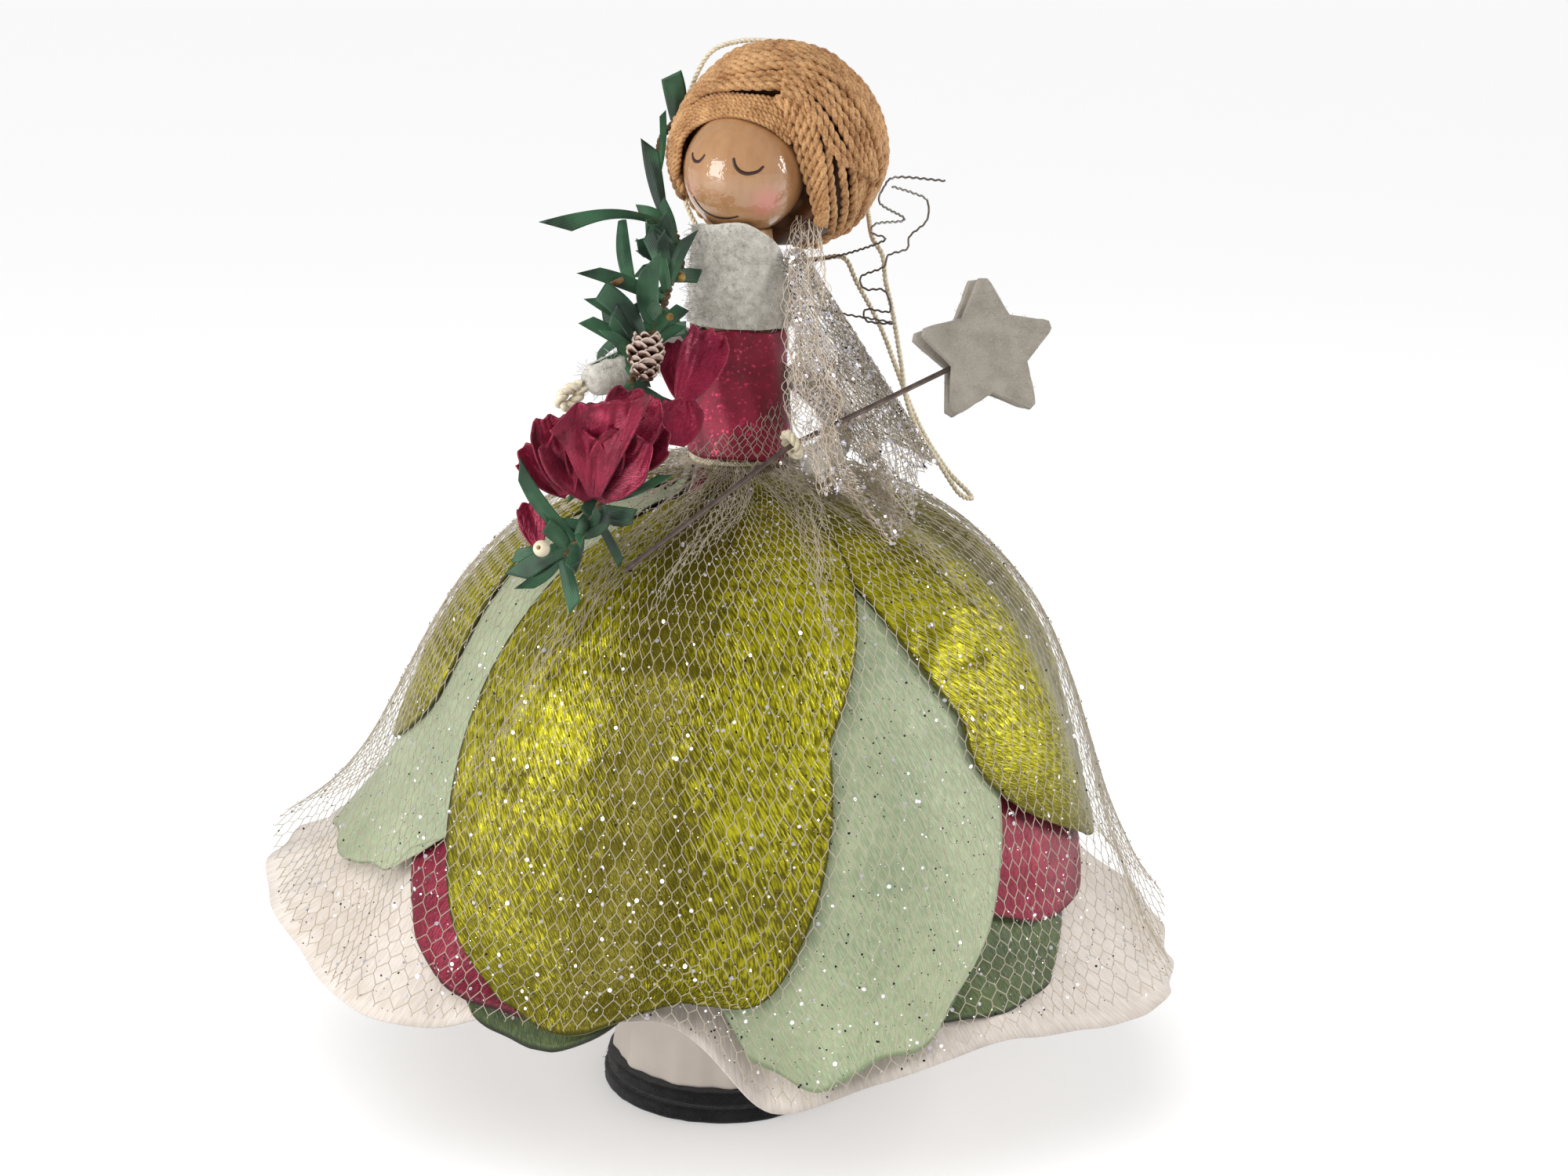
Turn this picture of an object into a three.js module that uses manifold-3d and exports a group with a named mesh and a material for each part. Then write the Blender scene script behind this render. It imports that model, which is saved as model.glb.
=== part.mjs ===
// A fairy ornament, about 166 mm tall: a wooden bead head with floss hair on a turned peg body,
// a bell of fabric petals over a cream petticoat, a glitter tulle overskirt, a felt star wand,
// a spray of paper leaves with red blooms, and a black felt base.
// Millimetres, +Z up, origin under the base's middle. The doll looks along -Y.
import * as THREE from "three";
import { mergeVertices } from "three/addons/utils/BufferGeometryUtils.js";
import Module from "manifold-3d";

const wasm = await Module();
wasm.setup();

// Fits
const clearance = 0.3; // between neighbours that only touch on the real piece
const overrun = 4; // how far a cutter runs past what it cuts

// Base: two black felt discs
const soleRadius = 18;
const soleThickness = 2.5;
const discInset = 0.5;
const discThickness = 2.5;

// Cream card core that fills the skirt's middle, and the wooden body peg on it
const coreInset = 0.8;
const coreHeight = 87;
const torsoRadius = 6;
const coreLip = 0.9;
const torsoHeight = 39;
const neckRadius = 4.6;
const pinRadius = 2.2;
const pinDepth = 8; // how far the pin goes up into the bead

// Head bead
const headRadius = 9;
const neckSpace = 5.3; // torso top to the bead's lowest point
const boreGap = 0.35; // round the pin, so the bead turns

// Skirt: a stack of layers, each one pitch further out along the bell's normal
const waistGap = 1.2; // core top to the petticoat
const clothThickness = 0.5;
const layerPitch = 1.35;
const petalBulge = 1.3;
const bellRadius = 57.5; // petticoat hem, on average
const bellHeight = 63; // waist to hem, on average
const bellLean = 3; // the doll's left side is fuller than the right by twice this
const hemFold = 1.2;

// Bodice, collar and the thread that ties the skirt to the waist
const bodiceWall = 0.9;
const bodiceShare = 0.5; // of the torso's height
const collarWall = 1.3;
const collarShare = 0.38;
const collarDip = 6; // the collar's lower front edge
const tieRadius = 0.55;

// Arms, hands and wand
const armRadius = 2.6;
const handCordRadius = 0.75;
const handLoopRadius = 1.9;
const wandWireRadius = 0.4;
const starRadius = 11;
const starInnerShare = 0.57;
const starThickness = 1.2;
const starCornerRadius = 1.2;

// Leaf spray and blooms
const stemRadius = 0.6;
const leafWidth = 3.1;
const leafThickness = 0.45;
const bloomLength = 14;
const bloomThickness = 0.5;
const coneRadius = 2.5;
const coneLength = 7;
const berryRadius = 1.2;

// Hair
const hairShare = 1.71; // of the bead's radius
const fringeRadius = 1.6;
const lockRadius = 2.1;

// Wire and cord
const wingWireRadius = 0.3;
const cordRadius = 0.45;
const knotRadius = 1.3;
const sleeveTopRadius = 1.6;
const sleeveHemRadius = 9;

// Arms, spray and wires reach out from the axis by shares of this many bead radii
const reachShare = 10 / 3;

// Angles in degrees round the axis: 0 is the front, positive turns towards +X
const deg = Math.PI / 180;
const faceTurn = -7.5;
const headTilt = 6;
const leanTurn = 110;
const collarTurn = 55;
const starTurn = 2;
const facingTurn = 20; // the stars and the spray face the front, a little to the doll's left
const coneTilt = 12;
const sleeveOpenTurn = 110;
const sleeveStartTurn = -80;
const sleeveEndTurn = 150;
const foldCount = 9;

// Heights worked out from the sizes above
const coreFoot = soleThickness + discThickness;
const coreTop = coreFoot + coreHeight;
const torsoTop = coreTop + torsoHeight;
const headCentre = torsoTop + neckSpace + headRadius;
const hairRadius = hairShare * headRadius;
const reach = reachShare * headRadius;
const bodiceHeight = bodiceShare * torsoHeight;
const collarHeight = collarShare * torsoHeight;
const waist = coreTop + waistGap;
const tulleOffset = 4 * layerPitch + petalBulge + layerPitch;
const tieHeight = waist + tulleOffset + clothThickness / 2 + clearance + tieRadius;
const bodiceFoot = tieHeight + tieRadius + clearance;
const collarFoot = bodiceFoot + bodiceHeight + clearance;
const bodiceInner = torsoRadius + clearance;
const bodiceOuter = bodiceInner + bodiceWall;
const collarOuter = bodiceInner + collarWall;

const polar = (angle, radius, height) =>
  new THREE.Vector3(radius * Math.sin(angle * deg), -radius * Math.cos(angle * deg), height);

const colours = {
  blackFelt: [0x17181a, 0.95, 0],
  card: [0xe8dfd2, 0.6, 0],
  paleWood: [0xcfa374, 0.45, 0],
  varnishedWood: [0xc8996b, 0.25, 0],
  floss: [0xb9834a, 0.75, 0],
  greyFelt: [0xa7a6a0, 0.95, 0],
  starFelt: [0x8f8a84, 0.85, 0],
  redSatin: [0x9a1c3a, 0.45, 0],
  limeSatin: [0xa8a41f, 0.35, 0],
  mintSatin: [0xa9bd95, 0.45, 0],
  oliveSatin: [0x47592b, 0.5, 0],
  creamVoile: [0xe6dcd2, 0.7, 0],
  tulle: [0xcfc8bd, 0.5, 0.1],
  leafPaper: [0x2c5a38, 0.6, 0],
  creamCord: [0xdccba4, 0.9, 0],
  darkWire: [0x4a3a34, 0.35, 0.9],
  silverWire: [0x8c8578, 0.3, 1],
  coneBrown: [0x6b4a34, 0.8, 0],
};
const finishes = Object.fromEntries(
  Object.entries(colours).map(([name, [color, roughness, metalness]]) => [
    name,
    new THREE.MeshStandardMaterial({ name, color, roughness, metalness }),
  ]),
);

const doll = new THREE.Group();
doll.name = "fairy_ornament";
function add(name, geometry, finish) {
  const mesh = new THREE.Mesh(geometry, finishes[finish]);
  mesh.name = name;
  doll.add(mesh);
  return mesh;
}

// Solids: a geometry with only merged positions becomes a manifold and comes back
function toSolid(geometry) {
  const bare = geometry.index ? geometry.toNonIndexed() : geometry.clone();
  bare.deleteAttribute("normal");
  bare.deleteAttribute("uv");
  const merged = mergeVertices(bare, 1e-4);
  return new wasm.Manifold(
    new wasm.Mesh({
      numProp: 3,
      vertProperties: merged.attributes.position.array,
      triVerts: new Uint32Array(merged.index.array),
    }),
  );
}
function toGeometry(solid) {
  const mesh = solid.getMesh();
  const geometry = new THREE.BufferGeometry();
  const places = new Float32Array(mesh.numVert * 3);
  for (let i = 0; i < mesh.numVert; i++) {
    places.set(mesh.vertProperties.subarray(i * mesh.numProp, i * mesh.numProp + 3), i * 3);
  }
  geometry.setAttribute("position", new THREE.BufferAttribute(places, 3));
  geometry.setIndex(new THREE.BufferAttribute(mesh.triVerts, 1));
  return geometry;
}
const placed = (geometry, matrix) => geometry.clone().applyMatrix4(matrix);
const moved = (geometry, place) => geometry.clone().translate(place.x, place.y, place.z);

// A rod, disc or tube on the Z axis
const lathe = (profile, segments) => {
  const outline = profile.map(([r, z]) => new THREE.Vector2(r, z));
  return new THREE.LatheGeometry(outline, segments).rotateX(90 * deg);
};
const disc = (radius, low, high, segments = 40) =>
  lathe([[0, low], [radius, low], [radius, high], [0, high]], segments);
const ring = (inner, outer, low, high, segments = 36) =>
  lathe([[inner, low], [outer, low], [outer, high], [inner, high], [inner, low]], segments);

// A round bar along a smooth path
function bar(points, radius, steps, sides) {
  const shape = new THREE.Shape();
  for (let i = 0; i < sides; i++) {
    const a = (i / sides) * 360 * deg;
    if (i === 0) shape.moveTo(radius * Math.cos(a), radius * Math.sin(a));
    else shape.lineTo(radius * Math.cos(a), radius * Math.sin(a));
  }
  const path =
    points.length > 2 ? new THREE.CatmullRomCurve3(points) : new THREE.LineCurve3(...points);
  return new THREE.ExtrudeGeometry(shape, { steps, extrudePath: path, curveSegments: 1 });
}

// A sheet of cloth as a closed solid: surface(u, v) is its middle, and wrap joins u 1 to u 0
function sheet(surface, columns, rows, thickness, wrap = false) {
  const across = wrap ? columns : columns + 1;
  const step = 1e-3;
  const inner = [];
  const outer = [];
  for (let j = 0; j <= rows; j++) {
    for (let i = 0; i < across; i++) {
      const u = i / columns;
      const v = j / rows;
      const low = surface(u - step, v).sub(surface(u + step, v));
      const up = surface(u, Math.min(1, v + step)).sub(surface(u, Math.max(0, v - step)));
      const normal = low.cross(up).normalize().multiplyScalar(thickness / 2);
      const middle = surface(u, v);
      outer.push(middle.clone().add(normal));
      inner.push(middle.clone().sub(normal));
    }
  }
  const places = [...outer, ...inner];
  const faces = [];
  const far = outer.length;
  const quad = (a, b, c, d) => faces.push(a, b, c, a, c, d);
  const at = (i, j) => j * across + (wrap ? i % columns : i);
  for (let j = 0; j < rows; j++) {
    for (let i = 0; i < columns; i++) {
      quad(at(i, j), at(i, j + 1), at(i + 1, j + 1), at(i + 1, j));
      quad(far + at(i, j), far + at(i + 1, j), far + at(i + 1, j + 1), far + at(i, j + 1));
    }
  }
  for (let i = 0; i < columns; i++) {
    quad(at(i, 0), at(i + 1, 0), far + at(i + 1, 0), far + at(i, 0));
    quad(at(i + 1, rows), at(i, rows), far + at(i, rows), far + at(i + 1, rows));
  }
  if (!wrap) {
    for (let j = 0; j < rows; j++) {
      quad(at(0, j + 1), at(0, j), far + at(0, j), far + at(0, j + 1));
      quad(at(columns, j), at(columns, j + 1), far + at(columns, j + 1), far + at(columns, j));
    }
  }
  const geometry = new THREE.BufferGeometry().setFromPoints(places);
  geometry.setIndex(faces);
  return geometry;
}

// Base
const discRadius = soleRadius - discInset;
add("base_sole", disc(soleRadius, 0, soleThickness), "blackFelt");
add("base_disc", disc(discRadius, soleThickness, coreFoot), "blackFelt");

// Card core, body peg and neck
const coreFootRadius = discRadius - coreInset;
const coreTopRadius = torsoRadius + coreLip;
add(
  "skirt_core",
  lathe([[0, coreFoot], [coreFootRadius, coreFoot], [coreTopRadius, coreTop], [0, coreTop]], 40),
  "card",
);
add("torso_peg", disc(torsoRadius, coreTop, torsoTop, 32), "paleWood");
const underBead = Math.sqrt(headRadius ** 2 - neckRadius ** 2);
const neckTop = headCentre - underBead - clearance;
const pinTop = headCentre - headRadius + pinDepth;
const neckProfile = [
  [0, torsoTop], [neckRadius, torsoTop], [neckRadius, neckTop],
  [pinRadius, neckTop], [pinRadius, pinTop], [0, pinTop],
];
add("neck_peg", lathe(neckProfile, 28), "paleWood");

// Bell of the skirt: shares of its radius and height from the waist to the hem
const bellShares = [
  [0, 0], [0.127, 0.008], [0.255, 0.035], [0.385, 0.08], [0.5, 0.15], [0.6, 0.26],
  [0.68, 0.4], [0.745, 0.56], [0.81, 0.73], [0.89, 0.88], [1, 1],
];
const bellSpan = bellRadius - bodiceInner;
const bellCurve = new THREE.CatmullRomCurve3(
  bellShares.map(([r, h]) => new THREE.Vector3(bodiceInner + r * bellSpan, -h * bellHeight, 0)),
);
// Hem all round, from the front towards +X: shares of the bell's radius and height
const hemShares = [
  [0.955, 1.06], [0.925, 0.985], [0.93, 1.18], [0.97, 1.1], [1.03, 1.04], [1.085, 1.06],
  [1.125, 1.085], [1.15, 1.085], [1.15, 1.07], [1.12, 1.045], [1.09, 1.03], [1.065, 1.01],
  [1.04, 1], [1.02, 0.99], [1.025, 0.99], [1.045, 0.99], [1.07, 0.975], [1.095, 0.95],
  [1.12, 0.93], [1.125, 0.935], [1.12, 0.985], [1.09, 1.045], [1.04, 1.075], [0.985, 1.075],
];
const hemCurve = new THREE.CatmullRomCurve3(
  hemShares.map(([r, h]) => new THREE.Vector3(r, h, 0)), true, "catmullrom", 0.5,
);
// A point of a layer: offset out from the bell along its normal, with the lean, the hem and its folds
function bell(angle, share, offset) {
  const s = Math.min(1, Math.max(0, share));
  const middle = bellCurve.getPoint(s);
  const along = bellCurve.getTangent(s);
  const hem = hemCurve.getPoint((((angle / 360) % 1) + 1) % 1);
  const weight = s ** 3;
  const lean = bellLean * Math.sin(s * 180 * deg) * Math.cos((angle - leanTurn) * deg);
  const fold = hemFold * Math.sin(foldCount * angle * deg);
  const swell = offset * Math.min(1, 2 * s);
  const lift = offset - swell;
  const radius = middle.x - along.y * swell + lean + weight * ((hem.x - 1) * bellRadius + fold);
  const height = middle.y + along.x * swell + lift - weight * (hem.y - 1) * bellHeight;
  return polar(angle, radius, waist + height);
}

const skirtColumns = 45;
const skirtRows = 10;
add(
  "petticoat",
  sheet((u, v) => bell(u * 360, v, 0), skirtColumns, skirtRows, clothThickness, true),
  "creamVoile",
);

// Petals: four in each layer. Rows above the level share line up with the petticoat's rows.
const levelShare = 0.6;
const petalRows = 8;
const petalColumns = 6;
const outlineShares = [0.34, 0.5, 0.66, 0.8, 0.91, 0.98, 1, 0.97, 0.87, 0.7, 0.42];
function petalOutline(v) {
  const place = v * (outlineShares.length - 1);
  const i = Math.min(outlineShares.length - 2, Math.floor(place));
  return THREE.MathUtils.lerp(outlineShares[i], outlineShares[i + 1], place - i);
}
function petal(centre, halfAngle, tipShare, layer, bulge) {
  return sheet(
    (u, v) => {
      const s = u * 2 - 1;
      const foot = tipShare - 0.035 * s * s;
      const past = Math.max(0, v - levelShare) / (1 - levelShare);
      const t = Math.min(v, levelShare) + past * (foot - levelShare);
      const swell = bulge * Math.sin(s * 180 * deg) ** 2 * Math.sin(v * 180 * deg);
      return bell(centre + s * halfAngle * petalOutline(v), t, layer * layerPitch + swell);
    },
    petalColumns,
    petalRows,
    clothThickness,
  );
}
// Angles of the four petals' middles, and how far each reaches down the bell
const oliveAngles = [1, 66, 176, 262];
const redAngles = [-20, 79, 162, 250];
const mintAngles = [40, 139, 228, 308];
const limeAngles = [3, 104, 187, 268];
const oliveTipShares = [0.99, 0.955, 0.93, 0.93];
const redTipShares = [0.97, 0.85, 0.885, 0.885];
const mintTipShares = [0.985, 0.9, 0.9, 0.87];
const limeTipShares = [0.985, 0.785, 0.86, 0.86];
function petals(name, finish, layer, halfAngle, angles, tipShares, bulge) {
  angles.forEach((angle, i) => {
    add(name + "_" + (i + 1), petal(angle, halfAngle, tipShares[i], layer, bulge), finish);
  });
}
petals("olive_petal", "oliveSatin", 1, 28, oliveAngles, oliveTipShares, 0);
petals("red_petal", "redSatin", 2, 32, redAngles, redTipShares, 0);
petals("mint_petal", "mintSatin", 3, 34, mintAngles, mintTipShares, 0);
petals("lime_petal", "limeSatin", 4, 37, limeAngles, limeTipShares, petalBulge);

// Tulle overskirt: clear of the petals' bulges, drawn in towards the petticoat at its hem
const tulleHem = 5 * layerPitch;
const tulleSurface = (u, v) => {
  const drawn = THREE.MathUtils.smoothstep(v, 0.85, 1);
  return bell(u * 360, v, THREE.MathUtils.lerp(tulleOffset, tulleHem, drawn));
};
add("tulle_overskirt", sheet(tulleSurface, skirtColumns, skirtRows, clothThickness, true), "tulle");

// Thread that ties the gathered skirt to the peg
const tie = new THREE.TorusGeometry(torsoRadius + clearance + tieRadius, tieRadius, 6, 28);
add("waist_tie", moved(tie, new THREE.Vector3(0, 0, tieHeight)), "creamCord");

// Red bodice and the felt collar, whose top slopes down to the front
add("bodice", ring(bodiceInner, bodiceOuter, bodiceFoot, bodiceFoot + bodiceHeight), "redSatin");
const collarTop = collarFoot + collarHeight;
const collarSlope = new THREE.Matrix4()
  .makeTranslation(0, 0, collarTop + overrun)
  .multiply(new THREE.Matrix4().makeRotationZ(collarTurn * deg))
  .multiply(new THREE.Matrix4().makeRotationX(Math.atan2(collarDip, 2 * collarOuter)))
  .multiply(new THREE.Matrix4().makeTranslation(0, 0, -collarDip / 2));
const collarBlock = new THREE.BoxGeometry(6 * collarOuter, 6 * collarOuter, 2 * overrun);
const collarRing = toSolid(ring(bodiceInner, collarOuter, collarFoot, collarTop));
const collar = collarRing.subtract(toSolid(placed(collarBlock, collarSlope)));
add("collar", toGeometry(collar), "greyFelt");

// Head bead, bored for the neck's pin
const beadCentre = new THREE.Vector3(0, 0, headCentre);
const sphere = (radius, across, down) =>
  new THREE.SphereGeometry(radius, across, down).rotateX(90 * deg);
const beadFoot = headCentre - headRadius - overrun;
const bore = toSolid(disc(pinRadius + boreGap, beadFoot, pinTop + clearance, 24));
const seat = toSolid(disc(neckRadius + boreGap, beadFoot, headCentre - underBead, 28));
const bead = toSolid(moved(sphere(headRadius, 24, 14), beadCentre)).subtract(bore).subtract(seat);
add("head_bead", toGeometry(bead), "varnishedWood");

// Hair, set out about the bead: x is the doll's left, y the back of the head
const headPlace = new THREE.Matrix4()
  .makeTranslation(0, 0, headCentre)
  .multiply(new THREE.Matrix4().makeRotationZ(faceTurn * deg))
  .multiply(new THREE.Matrix4().makeRotationY(headTilt * deg));
const onHead = (x, y, z) => new THREE.Vector3(x, y, z).multiplyScalar(headRadius);
const hairCentreShares = [0.16, 1.0, 0.3];
const hairline = -0.28 * headRadius;
const beadSpace = toSolid(moved(sphere(headRadius + 1.5 * clearance, 18, 10), beadCentre));
const collarSpace = toSolid(disc(collarOuter + 2 * clearance, coreTop, collarTop + clearance, 36));
const dressHair = (geometry) =>
  toSolid(placed(geometry, headPlace)).subtract(beadSpace).subtract(collarSpace);

const fringeShares = [
  [-0.98, -0.36, 0.62], [-0.72, -0.52, 0.9], [-0.25, -0.6, 1.03],
  [0.25, -0.58, 1.04], [0.62, -0.5, 0.98],
];
const lockShares = {
  hair_lock_left: [[0.86, -0.3, 0.98], [1.2, -0.34, 0.5], [1.34, -0.22, -0.1], [1.36, -0.02, -0.66]],
  hair_lock_right: [[-1.04, -0.3, 0.42], [-1.12, -0.14, -0.05], [-1.12, 0.1, -0.55]],
};
const lockRadii = { hair_lock_left: lockRadius, hair_lock_right: 0.72 * lockRadius };
const along = (shares) => shares.map((place) => onHead(...place));
add("hair_fringe", toGeometry(dressHair(bar(along(fringeShares), fringeRadius, 9, 8))), "floss");
function spaceRound(shares, radius) {
  const points = along(shares);
  let space = toSolid(bar(points, radius + clearance, 9, 8));
  for (const end of [points[0], points[points.length - 1]]) {
    space = space.add(toSolid(moved(sphere(radius + 2 * clearance, 12, 8), end)));
  }
  return toSolid(placed(toGeometry(space), headPlace));
}
let hairSpace = spaceRound(fringeShares, fringeRadius);
for (const [name, shares] of Object.entries(lockShares)) {
  const radius = lockRadii[name];
  add(name, toGeometry(dressHair(bar(along(shares), radius, 8, 8)).subtract(hairSpace)), "floss");
}
for (const [name, shares] of Object.entries(lockShares)) {
  hairSpace = hairSpace.add(spaceRound(shares, lockRadii[name]));
}
const ball = sphere(hairRadius, 22, 12).translate(...onHead(...hairCentreShares).toArray());
const front = new THREE.BoxGeometry(4 * hairRadius, 2 * hairRadius, 4 * hairRadius);
front.translate(0, hairline - hairRadius, 0);
const hairFront = toSolid(placed(front, headPlace));
const hairBack = dressHair(ball).subtract(hairFront).subtract(hairSpace);
add("hair_back", toGeometry(hairBack), "floss");

// Places round the body: an angle, a share of the reach, and of the waist-to-spray-top height
const sprayTop = headCentre + 1.1 * headRadius;
const at = (angle, share, height) =>
  polar(angle, share * reach, THREE.MathUtils.lerp(waist, sprayTop, height));

// Arms: felt rolls that start on the bodice's side, each with a hand looped from cord
const armShares = {
  arm_right: [[-84, 0.24, 0.42], [-44, 0.4, 0.42], [-23, 0.72, 0.415], [-27.5, 0.92, 0.38]],
  arm_left: [[112, 0.24, 0.37], [106, 0.46, 0.285], [80, 0.58, 0.22], [51, 0.695, 0.2]],
};
const armPoints = Object.fromEntries(
  Object.entries(armShares).map(([name, shares]) => [name, shares.map((place) => at(...place))]),
);
const bodiceSpace = toSolid(disc(bodiceOuter + clearance, coreTop, torsoTop, 36));
for (const [name, points] of Object.entries(armPoints)) {
  add(name, toGeometry(toSolid(bar(points, armRadius, 9, 10)).subtract(bodiceSpace)), "greyFelt");
}

// Wand: one bent wire through the left hand's loop, with two felt stars on its end
const handLeft = at(43, 0.72, 0.25);
const wandFoot = at(-0.5, 1.34, 0.01);
const starHold = at(94, 1.1, 0.4);
const wandLine = starHold.clone().sub(handLeft).normalize();
const starCentre = starHold.clone().addScaledVector(wandLine, 0.5 * starRadius);
starCentre.z += 0.1 * starRadius;
const bendStart = handLeft.clone().lerp(wandFoot, 0.06);
const bendEnd = handLeft.clone().lerp(starHold, 0.12);
const wandPath = new THREE.CurvePath();
wandPath.add(new THREE.LineCurve3(wandFoot, bendStart));
wandPath.add(new THREE.QuadraticBezierCurve3(bendStart, handLeft, bendEnd));
wandPath.add(new THREE.LineCurve3(bendEnd, starCentre));
add("wand_wire", bar(wandPath.getSpacedPoints(20), wandWireRadius, 24, 6), "darkWire");

// The stars face the front right, one on each side of the wire
const starSlopeShare = 0.12;
const starFace = polar(facingTurn, 1, starSlopeShare);
starFace.addScaledVector(wandLine, -starFace.dot(wandLine)).normalize();
const starUp = new THREE.Vector3(0, 0, 1);
const starSide = new THREE.Vector3().crossVectors(starUp, starFace).normalize();
const starRise = new THREE.Vector3().crossVectors(starFace, starSide);
const starFrame = new THREE.Matrix4().makeBasis(starSide, starRise, starFace);
const starShape = new THREE.Shape();
const starPoints = 5;
for (let i = 0; i < 2 * starPoints; i++) {
  const a = (90 + starTurn + (i * 180) / starPoints) * deg;
  const out = i % 2 === 0;
  const r = out ? starRadius : starRadius * starInnerShare;
  if (out) {
    const blunt = starCornerRadius / starRadius;
    for (const side of [-blunt, blunt]) {
      const b = a + side * 0.9;
      if (i === 0 && side < 0) starShape.moveTo(r * Math.cos(b), r * Math.sin(b));
      else starShape.lineTo(r * Math.cos(b), r * Math.sin(b));
    }
  } else {
    starShape.lineTo(r * Math.cos(a), r * Math.sin(a));
  }
}
const starBlank = new THREE.ExtrudeGeometry(starShape, { depth: starThickness, bevelEnabled: false });
const starLift = wandWireRadius + clearance;
for (const [name, lift] of [["star_front", starLift], ["star_back", -starLift - starThickness]]) {
  const frame = starFrame.clone().setPosition(starCentre.clone().addScaledVector(starFace, lift));
  add(name, placed(starBlank, frame), "starFelt");
}

// Hands: a ring of cord round the wand, and one at the right sleeve's end
function handLoop(centre, axis) {
  const loop = new THREE.TorusGeometry(handLoopRadius, handCordRadius, 7, 14);
  const turn = new THREE.Quaternion();
  turn.setFromUnitVectors(new THREE.Vector3(0, 0, 1), axis.clone().normalize());
  return placed(loop, new THREE.Matrix4().makeRotationFromQuaternion(turn).setPosition(centre));
}
const wristOut = (name) => {
  const [before, end] = armPoints[name].slice(-2);
  return end.clone().sub(before).normalize();
};
const loopReach = handLoopRadius + handCordRadius + clearance;
add("hand_left", handLoop(handLeft, wandFoot.clone().sub(starHold)), "creamCord");
const rightWrist = armPoints.arm_right[3];
const rightOut = wristOut("arm_right");
const handRight = rightWrist.clone().addScaledVector(rightOut, loopReach);
add("hand_right", handLoop(handRight, new THREE.Vector3().crossVectors(rightOut, starUp)), "creamCord");

// Leaf spray: three wired sprigs in a line, from beside the head down to the skirt. A leaf starts
// at a share of its stem's length, or at a place, and ends at a place; then its width and its bow.
const spraySlopeShare = 0.2;
const sprayFacing = polar(facingTurn, 1, spraySlopeShare);
const sprigShares = {
  sprig_upper: {
    stem: [
      [-29, 0.375, 0.6], [-36, 0.37, 0.68], [-80, 0.42, 0.75],
      [-97, 0.49, 0.83], [-101, 0.5, 0.9],
    ],
    leaves: [
      [0.97, [-95, 0.43, 1.06], 1.15, 0.04], [0.45, [-83, 0.48, 0.89], 0.85, 0.1],
      [0.75, [-104, 0.5, 0.96], 0.4, 0.03], [0.3, [-54, 0.94, 0.71], 0.5, 0.1],
      [[-47, 0.63, 0.73], [-34, 0.66, 0.6], 0.75, 0.03], [0.24, [-51, 0.42, 0.77], 0.5, 0.03],
      [0.06, [-25, 0.48, 0.62], 0.55, 0.04],
    ],
  },
  sprig_middle: {
    stem: [
      [-21, 0.5, 0.615], [-18, 0.56, 0.57], [-16, 0.66, 0.505],
      [-16, 0.78, 0.44], [-12, 0.97, 0.33], [-9, 1.08, 0.22],
    ],
    leaves: [
      [0.1, [-31, 0.58, 0.71], 0.7, 0.05], [0.14, [-33, 0.9, 0.63], 0.75, 0.03],
      [0.42, [-27, 0.89, 0.59], 1.1, 0.12], [0.3, [-19, 0.67, 0.655], 1.15, -0.08],
      [0.44, [-27, 0.98, 0.525], 0.75, 0.03], [0.28, [-7, 0.58, 0.55], 0.7, 0.03],
      [0.62, [-1, 0.77, 0.335], 0.5, 0.02],
    ],
  },
  sprig_lower: {
    stem: [[-10.5, 1.105, 0.26], [-8.5, 1.25, 0.15], [-11, 1.36, 0.06], [-17, 1.4, 0.0]],
    leaves: [
      [0.72, [-18, 1.57, 0.23], 0.8, -0.06], [0.66, [-4, 1.36, 0.14], 0.95, 0.05],
      [0.8, [-15, 1.47, 0.1], 0.8, 0.05], [0.72, [-21, 1.5, -0.03], 0.95, 0.04],
      [0.85, [-23, 1.47, 0.01], 0.7, 0.04], [0.4, [4, 1.1, 0.21], 0.35, 0.06],
      [0.45, [0, 1.27, 0.13], 0.7, 0.03],
    ],
  },
};
function leaf(base, tip, width, bow) {
  const heading = tip.clone().sub(base);
  const side = new THREE.Vector3().crossVectors(heading, sprayFacing).normalize();
  const out = new THREE.Vector3().crossVectors(side, heading).normalize();
  const middle = (u, v) => {
    const rise = bow * heading.length() * Math.sin(v * 180 * deg);
    const half = (u - 0.5) * width * (0.5 + 1.1 * v - 0.9 * v * v);
    const place = base.clone().addScaledVector(heading, v);
    return place.addScaledVector(side, half + rise).addScaledVector(out, rise);
  };
  return sheet(middle, 1, 4, leafThickness);
}
for (const [name, { stem, leaves }] of Object.entries(sprigShares)) {
  const points = stem.map((place) => at(...place));
  const line = new THREE.CatmullRomCurve3(points);
  let solid = toSolid(bar(points, stemRadius, 8, 6));
  for (const [from, tip, widthShare, bow] of leaves) {
    const base = Array.isArray(from) ? at(...from) : line.getPointAt(from);
    solid = solid.add(toSolid(leaf(base, at(...tip), widthShare * leafWidth, bow)));
  }
  add(name, toGeometry(solid), "leafPaper");
}

// Small pine cone and the blooms' cupped petals
const coneShape = sphere(coneRadius, 10, 8).scale(1, 1, coneLength / (2 * coneRadius));
coneShape.rotateX(-coneTilt * deg);
add("mini_cone", moved(coneShape, at(-9.5, 0.86, 0.45)), "coneBrown");

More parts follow.
